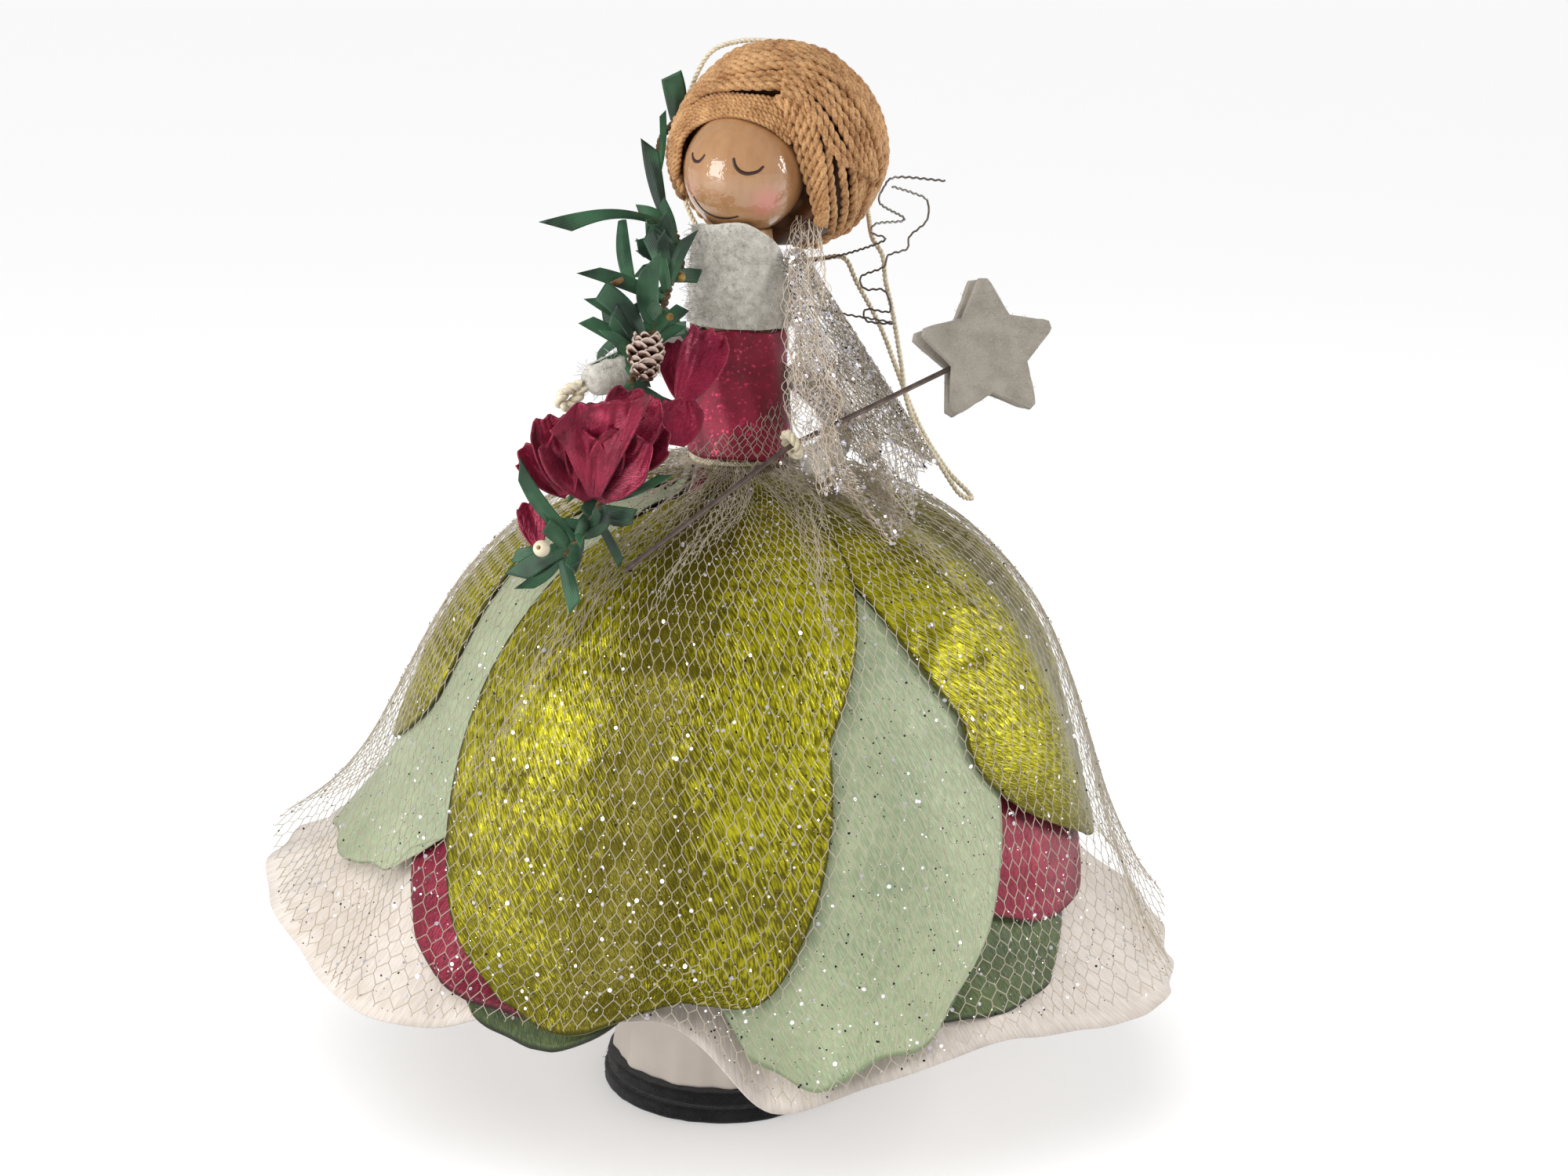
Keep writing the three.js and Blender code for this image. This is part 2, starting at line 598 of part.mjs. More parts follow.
function cupPetal(base, tip, width, cup) {
  const heading = tip.clone().sub(base);
  const side = new THREE.Vector3().crossVectors(heading, sprayFacing).normalize();
  const out = new THREE.Vector3().crossVectors(side, heading).normalize();
  return sheet(
    (u, v) => {
      const s = u * 2 - 1;
      return base
        .clone()
        .addScaledVector(heading, v - 0.12 * s * s * v)
        .addScaledVector(side, s * 0.5 * width * (0.3 + 1.6 * v - 1.1 * v * v))
        .addScaledVector(out, cup * (s * s - 0.4) * Math.sin(v * 90 * deg));
    },
    5,
    5,
    bloomThickness,
  );
}
// Each petal's foot and tip, and its width and cup as shares of the bloom's length
const bloomShares = {
  bloom_petal_front: { base: [-8.7, 1.305, 0.16], tip: [-4.5, 1.4, 0.4], width: 0.95, cup: 0.16 },
  bloom_petal_left: { base: [-13.5, 1.36, 0.165], tip: [-17, 1.41, 0.35], width: 0.5, cup: 0.1 },
  bloom_petal_back: { base: [-7.8, 1.2, 0.21], tip: [-1, 1.16, 0.41], width: 0.7, cup: 0.08 },
  bloom_petal_upper: { base: [1, 0.75, 0.35], tip: [8, 0.52, 0.5], width: 0.55, cup: 0.06 },
  bloom_bud: { base: [1.5, 0.83, 0.25], tip: [3, 0.79, 0.36], width: 0.5, cup: 0.1 },
  bloom_petal_low: { base: [-17.5, 1.455, 0.045], tip: [-21, 1.43, 0.14], width: 0.32, cup: 0.05 },
};
for (const [name, { base, tip, width, cup }] of Object.entries(bloomShares)) {
  const shape = cupPetal(at(...base), at(...tip), width * bloomLength, cup * bloomLength);
  add(name, shape, "redSatin");
}
add("berry_bead", moved(sphere(berryRadius, 10, 8), at(-15, 1.5, 0.05)), "creamCord");

// Tulle sleeve: a flared wrap over the left arm, open at its back and lower front, with a pointed tail
const sleeveTop = at(84, 0.27, 0.67);
const sleeveLine = at(92, 0.66, 0.22).sub(sleeveTop);
const sleeveDown = sleeveLine.clone().normalize();
const sleeveRight = polar(sleeveOpenTurn, 1, 0);
const sleeveFront = new THREE.Vector3().crossVectors(sleeveDown, sleeveRight).normalize();
const sleeveHemShares = [1.03, 1.05, 1.08, 1.1, 1.1, 1.1, 1.12, 1.2, 1.36, 1.1, 0.86, 0.8, 0.79];
function sleeveSurface(u, v) {
  const a = THREE.MathUtils.lerp(sleeveStartTurn, sleeveEndTurn, u) * deg;
  const place = Math.min(1, Math.max(0, u)) * (sleeveHemShares.length - 1);
  const i = Math.min(sleeveHemShares.length - 2, Math.floor(place));
  const hem = THREE.MathUtils.lerp(sleeveHemShares[i], sleeveHemShares[i + 1], place - i);
  const down = v * hem;
  const flute = 1 + 0.05 * v * Math.sin(6 * a);
  const r = THREE.MathUtils.lerp(sleeveTopRadius, sleeveHemRadius, down) * flute;
  const middle = sleeveTop.clone().addScaledVector(sleeveLine, down);
  return middle
    .addScaledVector(sleeveRight, r * Math.cos(a))
    .addScaledVector(sleeveFront, r * Math.sin(a));
}
add("tulle_sleeve", sheet(sleeveSurface, 12, 6, clothThickness), "tulle");

// Knot at the nape, the crimped wing wire and the hanging cord that starts and ends in the knot
const napeAngle = 190;
const napeHeight = collarFoot + 0.45 * collarHeight;
const napeRadius = collarOuter + clearance + knotRadius;
add("nape_knot", moved(sphere(knotRadius, 12, 8), polar(napeAngle, napeRadius, napeHeight)), "creamCord");

const wingShares = {
  wing_wire_upper: [
    [160, 0.28, 0.62], [142, 0.48, 0.62],
    [107, 0.7, 0.69], [104, 0.64, 0.71], [107, 0.66, 0.73], [117, 0.79, 0.73],
    [117, 0.8, 0.74], [107, 0.67, 0.78], [104, 0.69, 0.82], [110, 0.75, 0.84], [116, 1, 0.83],
  ],
  wing_wire_lower: [
    [166, 0.28, 0.56], [148, 0.46, 0.5],
    [129, 0.81, 0.47], [133, 0.70, 0.47], [133, 0.69, 0.50], [127, 0.79, 0.50], [128, 0.76, 0.55],
    [133, 0.68, 0.55], [134, 0.66, 0.58], [126, 0.74, 0.61], [125, 0.76, 0.64], [121, 0.84, 0.66],
    [121, 0.85, 0.69], [120, 0.93, 0.73], [118, 0.92, 0.78], [115, 0.84, 0.80], [107, 0.73, 0.82],
  ],
};
for (const [name, shares] of Object.entries(wingShares)) {
  add(name, bar(shares.map((place) => at(...place)), wingWireRadius, 4 * shares.length, 5), "silverWire");
}

// Hanging cord: its route is chosen by hand
const cordRoute = [
  [-3.1, 9.8, 129.9], [-5.5, 11, 130.4], [-10.1, 11.7, 132.5], [-14.4, 13.4, 137.5],
  [-16.6, 14.5, 143.5], [-16.3, 14.9, 149.5], [-15.5, 15.4, 154.6], [-12.6, 15.9, 160.8],
  [-8.3, 17, 162.9], [-3.7, 19.1, 163.1], [0, 23.4, 162.4], [3.1, 28.4, 157.6],
  [5.4, 30.7, 150.5], [7.8, 29.4, 143.6], [11.4, 23.8, 138.2], [14.5, 17.5, 134.8],
  [16.6, 16.6, 132.2], [17.2, 16.8, 128.3], [18.4, 17.3, 123.5], [20, 17.9, 115.5],
  [21.1, 17.7, 110.4], [23.4, 17.5, 105.4], [27, 17.5, 100.8], [30.3, 17.8, 96.4],
  [31.8, 19.7, 95.3], [30.7, 21.6, 95.8], [27.6, 21.3, 98.6], [24.1, 20.5, 103.4],
  [21.2, 20.1, 108.6], [18.6, 19.7, 114.6], [15.9, 19, 121], [12.6, 16.9, 127.6],
  [10.5, 16.2, 131.4], [6.7, 15.6, 131], [2, 13.7, 130.2], [0.2, 12, 130], [-0.9, 10.5, 129.9],
].map((place) => new THREE.Vector3(...place));
add("hanging_cord", bar(cordRoute, cordRadius, 80, 8), "creamCord");

export default doll;
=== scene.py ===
# A fairy ornament, 164 mm tall: a varnished bead head with floss hair on a felt and satin body, a
# skirt of satin petals under glitter net, a felt star wand and a spray of paper leaves.
# Sizes in the tables are millimetres. The doll looks along -Y, and an angle of 0 is its front.
import math
import random

import bmesh
import bpy
from mathutils import Matrix, Vector, noise


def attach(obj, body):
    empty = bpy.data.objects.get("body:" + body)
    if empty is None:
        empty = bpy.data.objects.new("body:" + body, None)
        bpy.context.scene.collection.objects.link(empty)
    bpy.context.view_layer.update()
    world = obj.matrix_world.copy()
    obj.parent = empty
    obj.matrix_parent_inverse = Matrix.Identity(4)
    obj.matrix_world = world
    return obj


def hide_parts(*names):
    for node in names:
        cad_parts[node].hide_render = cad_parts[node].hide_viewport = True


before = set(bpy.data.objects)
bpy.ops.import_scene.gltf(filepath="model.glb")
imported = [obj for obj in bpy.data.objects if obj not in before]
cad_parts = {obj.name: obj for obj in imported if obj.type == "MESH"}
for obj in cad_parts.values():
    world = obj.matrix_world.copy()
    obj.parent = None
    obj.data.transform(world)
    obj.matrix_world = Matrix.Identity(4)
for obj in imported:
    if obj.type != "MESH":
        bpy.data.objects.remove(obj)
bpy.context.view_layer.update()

# Camera, floor and lamps. The photograph was taken with a short telephoto lens, a little above the
# doll and 20 degrees round to its left. Two soft boxes stand at the sides of a pale table, under a
# wide ceiling light.
MM = 0.001
scene = bpy.context.scene
scene.view_settings.view_transform = "Standard"
view_turn = math.radians(20)
view_place, view_dip, view_roll = (8.1, -398, 190), 15.2, 2.1  # in millimetres and degrees
camera_data = bpy.data.cameras.new("camera")
camera_data.lens = 61.56
camera_data.sensor_width = 36
camera_data.clip_start = 0.01
camera = bpy.data.objects.new("camera", camera_data)
scene.collection.objects.link(camera)
scene.camera = camera
camera.matrix_world = (
    Matrix.Rotation(view_turn, 4, "Z")
    @ Matrix.Translation(Vector(view_place) * MM)
    @ Matrix.Rotation(math.radians(90 - view_dip), 4, "X")
    @ Matrix.Rotation(math.radians(view_roll), 4, "Z")
)


def linear(hex_colour):
    """An sRGB colour such as #c8996b as the linear colour that a shader takes."""
    channels = [int(hex_colour[i : i + 2], 16) / 255 for i in (1, 3, 5)]
    return tuple(c / 12.92 if c <= 0.04045 else ((c + 0.055) / 1.055) ** 2.4 for c in channels) + (1,)


def add(tree, kind, inputs=(), **settings):
    """A new node with its settings, its values and its links."""
    made = tree.nodes.new("ShaderNode" + kind)
    for name, value in settings.items():
        setattr(made, name, value)
    for socket, value in dict(inputs).items():
        if isinstance(value, bpy.types.NodeSocket):
            tree.links.new(value, made.inputs[socket])
        else:
            made.inputs[socket].default_value = value
    return made


def new_finish(name):
    """An empty material, its node tree, and the object's own coordinates in it."""
    made = bpy.data.materials.new(name)
    made.use_nodes = True
    made.node_tree.nodes.clear()
    return made, made.node_tree, add(made.node_tree, "TexCoord").outputs["Object"]


# The camera and mirror-like surfaces see the table brighter than it lights the doll.
table_paint, tree, _ = new_finish("matt_white_table")
cover = add(tree, "BsdfDiffuse", {"Color": (0.84, 0.84, 0.84, 1)})
rays = add(tree, "LightPath")
direct = add(
    tree, "Math", {0: rays.outputs["Is Camera Ray"], 1: rays.outputs["Is Glossy Ray"]}, operation="MAXIMUM"
)
lift = add(tree, "Math", {0: direct.outputs[0], 1: 0.35}, operation="MULTIPLY")
glow = add(tree, "Emission", {"Color": (1, 1, 1, 1), "Strength": lift.outputs[0]})
both = add(tree, "AddShader", {0: cover.outputs[0], 1: glow.outputs[0]})
add(tree, "OutputMaterial", {"Surface": both.outputs[0]})
bm = bmesh.new()
bmesh.ops.create_grid(bm, x_segments=1, y_segments=1, size=6)
floor_mesh = bpy.data.meshes.new("table_top")
bm.to_mesh(floor_mesh)
bm.free()
floor_mesh.materials.append(table_paint)
table_top = bpy.data.objects.new("table_top", floor_mesh)
scene.collection.objects.link(table_top)

world = bpy.data.worlds.new("studio")
scene.world = world
world.use_nodes = True
tree = world.node_tree
tree.nodes.clear()
rays = add(tree, "LightPath")
direct = add(
    tree,
    "Math",
    {0: rays.outputs["Is Camera Ray"], 1: rays.outputs["Is Transmission Ray"]},
    operation="MAXIMUM",
)
level = add(tree, "MapRange", {"Value": direct.outputs[0], "To Min": 0.34, "To Max": 1.0})
sky = add(tree, "Background", {"Color": (1, 1, 1, 1), "Strength": level.outputs[0]})
add(tree, "OutputWorld", {"Surface": sky.outputs[0]})

soft_boxes = {  # turn from the camera's side, rise, distance, width, and light level on the doll
    "left_soft_box": (-55, 12, 0.6, 0.3, 0.55),
    "right_soft_box": (89, 18, 0.6, 0.22, 0.48),
}


def aimed(turn, rise, distance):
    """Where a lamp stands, round from the camera's side and up, turned to the doll."""
    return (
        Matrix.Translation((0, 0, 0.08))
        @ Matrix.Rotation(view_turn + math.radians(turn), 4, "Z")
        @ Matrix.Rotation(math.radians(90 - rise), 4, "X")
        @ Matrix.Translation((0, 0, distance))
    )


for name, (turn, rise, distance, width, level) in soft_boxes.items():
    lamp_data = bpy.data.lights.new(name, "AREA")
    lamp_data.shape = "SQUARE"
    lamp_data.size = width
    lamp_data.energy = math.pi**2 * distance**2 * level
    lamp = bpy.data.objects.new(name, lamp_data)
    scene.collection.objects.link(lamp)
    lamp.matrix_world = aimed(turn, rise, distance)
ceiling_data = bpy.data.lights.new("ceiling_light", "SUN")
ceiling_data.angle = math.radians(45)
ceiling_data.energy = math.pi * 0.44
ceiling_light = bpy.data.objects.new("ceiling_light", ceiling_data)
scene.collection.objects.link(ceiling_light)
ceiling_light.matrix_world = aimed(-30, 58, 1)
ceiling_light.visible_glossy = False


# Hanging cord: 198 mm of two-ply cream cotton, 0.9 mm thick. It leaves the knot at the nape, arches
# over the right of the head, hangs doubled behind the left arm and comes back to the knot.
def through(points, steps, closed=False):
    """A smooth line through the points, with that many steps between each two."""
    points = [Vector(p) for p in points]
    count = len(points)
    line = []
    for i in range(count if closed else count - 1):
        if closed:
            a, b, c, d = (points[(i + k) % count] for k in (-1, 0, 1, 2))
        else:
            b, c = points[i], points[i + 1]
            a = points[i - 1] if i else b * 2 - c
            d = points[i + 2] if i + 2 < count else c * 2 - b
        for k in range(steps):
            t = k / steps
            bend, turn_back = 2 * a - 5 * b + 4 * c - d, 3 * b - a - 3 * c + d
            line.append(0.5 * (2 * b + (c - a) * t + bend * t**2 + turn_back * t**3))
    return line if closed else line + [points[-1]]


def even(line, step):
    """The line with its points a step apart."""
    lengths = [0]
    for a, b in zip(line, line[1:]):
        lengths.append(lengths[-1] + (b - a).length)
    count = max(2, round(lengths[-1] / step))
    made, j = [], 0
    for i in range(count + 1):
        goal = lengths[-1] * i / count
        while j < len(line) - 2 and lengths[j + 1] < goal:
            j += 1
        span = lengths[j + 1] - lengths[j] or 1
        made.append(line[j].lerp(line[j + 1], min(1, (goal - lengths[j]) / span)))
    return made


def twisted(line, plies, reach, pitch, start=0, steps=9):
    """The lines of that many plies, wound round a line at a reach, one turn for each pitch."""
    line = even(line, pitch / steps)
    side = (line[1] - line[0]).orthogonal().normalized()
    found = [[] for _ in range(plies)]
    for i, place in enumerate(line):
        ahead = (line[min(i + 1, len(line) - 1)] - line[max(i - 1, 0)]).normalized()
        side = (side - ahead * side.dot(ahead)).normalized()
        other = ahead.cross(side)
        for k, ply in enumerate(found):
            a = start + math.tau * (i / steps + k / plies)
            ply.append(place + (side * math.cos(a) + other * math.sin(a)) * reach)
    return found


def piece(name, made, finishes, slot, stands_for=(), body="doll"):
    """An object from a bmesh or a mesh, smooth shaded and on its body. The slot is not used."""
    mesh = made
    if isinstance(made, bmesh.types.BMesh):
        mesh = bpy.data.meshes.new(name)
        made.to_mesh(mesh)
        made.free()
    for finish in finishes if isinstance(finishes, (list, tuple)) else [finishes]:
        mesh.materials.append(finish)
    mesh.polygons.foreach_set("use_smooth", [True] * len(mesh.polygons))
    thing = bpy.data.objects.new(name, mesh)
    scene.collection.objects.link(thing)
    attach(thing, body)
    if stands_for:
        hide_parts(*([stands_for] if isinstance(stands_for, str) else stands_for))
    return thing


def round_bars(lines, radius, resolution=1, taper=None, caps=True):
    """A mesh of round bars along lines in millimetres, with closed ends unless caps is False."""
    curve = bpy.data.curves.new("bars", "CURVE")
    curve.dimensions = "3D"
    curve.bevel_depth = radius * MM
    curve.bevel_resolution = resolution
    curve.use_fill_caps = caps
    for line in lines:
        spline = curve.splines.new("POLY")
        spline.points.add(len(line) - 1)
        spline.points.foreach_set("co", [x for p in line for x in (p.x * MM, p.y * MM, p.z * MM, 1)])
        if taper:
            last = len(line) - 1
            spline.points.foreach_set("radius", [taper(i / last) for i in range(last + 1)])
    holder = bpy.data.objects.new("bars", curve)
    scene.collection.objects.link(holder)
    found = holder.evaluated_get(bpy.context.evaluated_depsgraph_get())
    mesh = bpy.data.meshes.new_from_object(found)
    bpy.data.objects.remove(holder)
    bpy.data.curves.remove(curve)
    return mesh


def surfaced(tree, sockets):
    """Gives a material its shader."""
    shader = add(tree, "BsdfPrincipled", sockets)
    add(tree, "OutputMaterial", {"Surface": shader.outputs[0]})


def two_tones(tree, factor, first, second, low=0.0, high=1.0):
    """A colour that goes from the first to the second, each a hex colour or a socket, as the factor
    goes from low to high."""
    tone = add(tree, "MapRange", {"Value": factor, "From Min": low, "From Max": high})
    ends = [linear(end) if isinstance(end, str) else end for end in (first, second)]
    mixed = add(tree, "Mix", {"Factor": tone.outputs[0], 6: ends[0], 7: ends[1]}, data_type="RGBA")
    return mixed.outputs[2]


spun = {"Roughness": 0.8, "Specular IOR Level": 0.25, "Sheen Weight": 0.25, "Sheen Roughness": 0.4}


def grained_finish(
    name, light, shade, grain_mm, relief=(0.3, 0.1), sockets=spun, tones=(0.3, 0.7), detail=3.0, stretch=1.0
):
    """Two tones that follow one grain, with that relief. A stretch under 1 draws the grain out
    upwards, as in turned wood. With the usual values it is spun cotton, matt with short streaks."""
    made, tree, place = new_finish(name)
    drawn_out = add(tree, "Mapping", {"Vector": place, "Scale": (1, 1, stretch)})
    grain = add(
        tree, "TexNoise", {"Vector": drawn_out.outputs[0], "Scale": 1 / (grain_mm * MM), "Detail": detail}
    )
    if relief:
        strength, height = relief
        bump = add(tree, "Bump", {"Height": grain.outputs[0], "Strength": strength, "Distance": height * MM})
        sockets = {**sockets, "Normal": bump.outputs[0]}
    surfaced(tree, {"Base Color": two_tones(tree, grain.outputs[0], shade, light, *tones), **sockets})
    return made


cream_cotton = grained_finish("cream_two_ply_cotton", "#f7efdc", "#d8c9a6", 0.5)
cord_route = [
    (-3.1, 9.8, 129.9), (-5.5, 11, 130.4), (-10.1, 11.7, 132.5), (-14.4, 13.4, 137.5),
    (-16.6, 14.5, 143.5), (-16.3, 14.9, 149.5), (-15.5, 15.4, 154.6), (-12.6, 15.9, 160.8),
    (-8.3, 17, 162.9), (-3.7, 19.1, 163.1), (0, 23.4, 162.4), (3.1, 28.4, 157.6),
    (5.4, 30.7, 150.5), (7.8, 29.4, 143.6), (11.4, 23.8, 138.2), (14.5, 17.5, 134.8),
    (16.6, 16.6, 132.2), (17.2, 16.8, 128.3), (18.4, 17.3, 123.5), (20, 17.9, 115.5),
    (21.1, 17.7, 110.4), (23.4, 17.5, 105.4), (27, 17.5, 100.8), (30.3, 17.8, 96.4),
    (31.8, 19.7, 95.3), (30.7, 21.6, 95.8), (27.6, 21.3, 98.6), (24.1, 20.5, 103.4),
    (21.2, 20.1, 108.6), (18.6, 19.7, 114.6), (15.9, 19, 121), (12.6, 16.9, 127.6),
    (10.5, 16.2, 131.4), (6.7, 15.6, 131), (2, 13.7, 130.2), (0.2, 12, 130), (-0.9, 10.5, 129.9),
]
cord_line = through(cord_route, 10)
hanging_cord = piece(
    "hanging_cord_cotton",
    round_bars(twisted(cord_line, 2, 0.19, 1.5), 0.24),
    cream_cotton,
    "cream_cord",
    "hanging_cord",
)

# Base: two discs of black felt, glued one on the other. Felt is pressed wool: matt, a little
# lumpy, with its cut edges rounded and loose fibres standing out of them.
def ordered(bm):
    """The same mesh with its corners and faces in one order. Spin and bevel leave them in another
    order each run, and the loose fibres would then grow in other places."""
    corners = sorted(bm.verts, key=lambda vert: tuple(vert.co))
    rank = {vert: i for i, vert in enumerate(corners)}
    rings = []
    for face in bm.faces:
        ring = [rank[vert] for vert in face.verts]
        first = ring.index(min(ring))
        rings.append(ring[first:] + ring[:first])
    made = bmesh.new()
    placed = [made.verts.new(vert.co) for vert in corners]
    for ring in sorted(rings):
        made.faces.new([placed[i] for i in ring])
    bm.free()
    made.normal_update()
    return made


def turned(profile, steps, edge=0, cuts=0):
    """A lathe shape: the profile's corners rounded by edge, its lines cut up, then spun round."""
    bm = bmesh.new()
    row = [bm.verts.new(Vector((r, 0, z)) * MM) for r, z in profile]
    for pair in zip(row, row[1:]):
        bm.edges.new(pair)
    if edge:
        bmesh.ops.bevel(
            bm, geom=row[1:-1], offset=edge * MM, segments=4, profile=0.5, affect="VERTICES", material=-1
        )
    if cuts:
        bmesh.ops.subdivide_edges(bm, edges=bm.edges[:], cuts=cuts)
    bmesh.ops.spin(
        bm, geom=bm.verts[:] + bm.edges[:], cent=(0, 0, 0), axis=(0, 0, 1), angle=math.tau, steps=steps,
        use_merge=True,
    )
    bmesh.ops.remove_doubles(bm, verts=bm.verts, dist=1e-7)
    bmesh.ops.recalc_face_normals(bm, faces=bm.faces)
    return ordered(bm)


def roughen(bm, height, grain, seed=0):
    """Lumps of that height and grain, in millimetres, pushed out along the normals."""
    bm.normal_update()
    shift = Vector((seed, 2 * seed, 3 * seed))
    moves = [v.normal * noise.noise(v.co / (grain * MM) + shift) * height * MM for v in bm.verts]
    for vert, move in zip(bm.verts, moves):
        vert.co += move
    return bm


def loose_fibres(bm, count, length, seed, keep=lambda place: True):
    """Lines of short fibres that stand out of a surface and curl over."""
    random.seed(seed)
    faces = bm.faces[:]
    lines = []
    for face in random.choices(faces, weights=[f.calc_area() for f in faces], k=count):
        shares = [random.random() for _ in face.verts]
        foot = sum((v.co * s for v, s in zip(face.verts, shares)), Vector()) / sum(shares) / MM
        if not keep(foot):
            continue
        reach = length * random.uniform(0.4, 1)
        lean = Vector([random.uniform(-1, 1) for _ in range(3)])
        curl = Vector([random.uniform(-1, 1) for _ in range(3)])
        middle = foot + (face.normal + lean * 0.7) * reach * 0.45
        end = middle + (face.normal * 0.3 + lean * 0.5 + curl) * reach * 0.5
        lines.append([foot - face.normal * 0.1, middle, end])
    return lines


def felt_finish(name, light, shade, mottle_mm, dark_share=0.5):
    """Pressed wool felt: dead matt, mottled where lighter and darker wool met, with a fibre grain."""
    made, tree, place = new_finish(name)
    mottle = add(tree, "TexNoise", {"Vector": place, "Scale": 1 / (mottle_mm * MM), "Detail": 4.0})
    warp = add(tree, "TexNoise", {"Vector": place, "Scale": 1 / (1.1 * MM), "Detail": 2.0})
    shifted = add(tree, "VectorMath", {0: warp.outputs[1], 1: (0.004, 0.004, 0.004)}, operation="MULTIPLY")
    bent = add(tree, "VectorMath", {0: place, 1: shifted.outputs[0]}, operation="ADD")
    grain = add(tree, "TexNoise", {"Vector": bent.outputs[0], "Scale": 1 / (0.35 * MM), "Detail": 4.0})
    mixed = add(tree, "Mix", {"Factor": 0.45, 2: mottle.outputs[0], 3: grain.outputs[0]})
    bump = add(tree, "Bump", {"Height": grain.outputs[0], "Strength": 0.7, "Distance": 0.18 * MM})
    surfaced(
        tree,
        {
            "Base Color": two_tones(
                tree, mixed.outputs[0], shade, light, dark_share - 0.15, dark_share + 0.12
            ),
            "Roughness": 0.95,
            "Specular IOR Level": 0.15,
            "Sheen Weight": 0.35,
            "Sheen Roughness": 0.5,
            "Normal": bump.outputs[0],
        },
    )
    return made


def with_nap(node_name, bm, nap, thick, finish, slot, body="doll"):
    """A felt piece that stands for its node, and the loose fibres on it."""
    piece(node_name + "_felt", bm, finish, slot, node_name, body)
    piece(node_name + "_nap", round_bars(nap, thick, 0), finish, slot, (), body)


black_felt = felt_finish("black_wool_felt", "#26272a", "#0e0f11", 2.5)
base_discs = {"base_sole": (18, 0, 2.5), "base_disc": (17.5, 2.6, 5)}  # radius, lowest and highest
for node_name, (radius, low, high) in base_discs.items():
    bm = roughen(turned([(0, low), (radius, low), (radius, high), (0, high)], 96, 0.5, 5), 0.12, 1.6, low)
    nap = loose_fibres(bm, 900, 0.7, 11, lambda p, r=radius: Vector((p.x, p.y)).length > r - 1 and p.z > 0.5)
    with_nap(node_name, bm, nap, 0.035, black_felt, "black_felt")

# Core: a cone of cream card under thin cream cloth that fills the skirt's middle. Only a band of it
# shows, above the base, softly creased where the cloth is tucked in round the foot.
cream_cloth, tree, place = new_finish("cream_lining_cloth")
patch = add(tree, "TexNoise", {"Vector": place, "Scale": 1 / (9 * MM), "Detail": 3.0})
threads = add(tree, "TexNoise", {"Vector": place, "Scale": 1 / (0.4 * MM), "Detail": 2.0})
bump = add(tree, "Bump", {"Height": threads.outputs[0], "Strength": 0.35, "Distance": 0.08 * MM})
surfaced(
    tree,
    {
        "Base Color": two_tones(tree, patch.outputs[0], "#cfc2b6", "#efe6dc"),
        "Roughness": 0.85,
        "Sheen Weight": 0.2,
        "Normal": bump.outputs[0],
    },
)
crease_height = 40
bm = turned([(0, 5.1), (16.4, 5.1), (6.9, 92), (0, 92)], 96, 0.8, 14)
for vert in bm.verts:
    turn = math.atan2(vert.co.y, vert.co.x)
    low = max(0, 1 - vert.co.z / MM / crease_height)
    vert.co.xy *= 1 + low * (0.018 * math.sin(11 * turn) + 0.012 * math.sin(23 * turn + 1))
piece("skirt_core_cloth", roughen(bm, 0.15, 5), cream_cloth, "cream_card", "skirt_core")

# Body peg and neck: one turned beech peg. Its neck shows between the collar and the bead.
pale_beech = grained_finish(
    "bare_turned_beech", "#dcb184", "#b98a5a", 0.9, (0.2, 0.05), {"Roughness": 0.5}, (0.35, 0.65),
    stretch=0.12,
)
peg_profiles = {
    "torso_peg": [(0, 92.1), (6, 92.1), (6, 130.9), (0, 130.9)],
    "neck_peg": [(0, 131), (4.6, 131), (4.55, 134), (4.5, 137.2), (2.2, 137.25), (2.2, 144.2), (0, 144.2)],
}
for node_name, profile in peg_profiles.items():
    piece(node_name + "_beech", turned(profile, 64, 0.25, 3), pale_beech, "pale_wood", node_name)

# Petticoat: cream voile gathered at the waist and hung as a bell. It is the lowest of the skirt's
# layers and shows past the petals at both sides and under them at the front.
bell_shares = [
    (0, 0), (0.127, 0.008), (0.255, 0.035), (0.385, 0.08), (0.5, 0.15), (0.6, 0.26),
    (0.68, 0.4), (0.745, 0.56), (0.81, 0.73), (0.89, 0.88), (1, 1),
]
hem_shares = [
    (0.955, 1.06), (0.925, 0.985), (0.93, 1.18), (0.97, 1.1), (1.03, 1.04), (1.085, 1.06),
    (1.125, 1.085), (1.15, 1.085), (1.15, 1.07), (1.12, 1.045), (1.09, 1.03), (1.065, 1.01),
    (1.04, 1), (1.02, 0.99), (1.025, 0.99), (1.045, 0.99), (1.07, 0.975), (1.095, 0.95),
    (1.12, 0.93), (1.125, 0.935), (1.12, 0.985), (1.09, 1.045), (1.04, 1.075), (0.985, 1.075),
]
bell_radius, bell_height, waist, peg_space = 57.5, 63, 93.2, 6.3
tied_share, tied_rise = 0.07, 9  # the top of the skirt that is drawn up the peg, and how far
bell_line = through(
    [(peg_space + r * (bell_radius - peg_space), -h * bell_height, 0) for r, h in bell_shares], 16
)
hem_line = through([(r, h, 0) for r, h in hem_shares], 15, closed=True)


def polar(angle, radius, height):
    """A place at an angle round the doll, so far out and so high."""
    a = math.radians(angle)
    return Vector((radius * math.sin(a), -radius * math.cos(a), height))


def on_line(line, share, closed=False):
    """The place at a share of the way along a line."""
    place = share * (len(line) if closed else len(line) - 1)
    i = int(place) if closed else min(int(place), len(line) - 2)
    return line[i % len(line)].lerp(line[(i + 1) % len(line)], place - i)


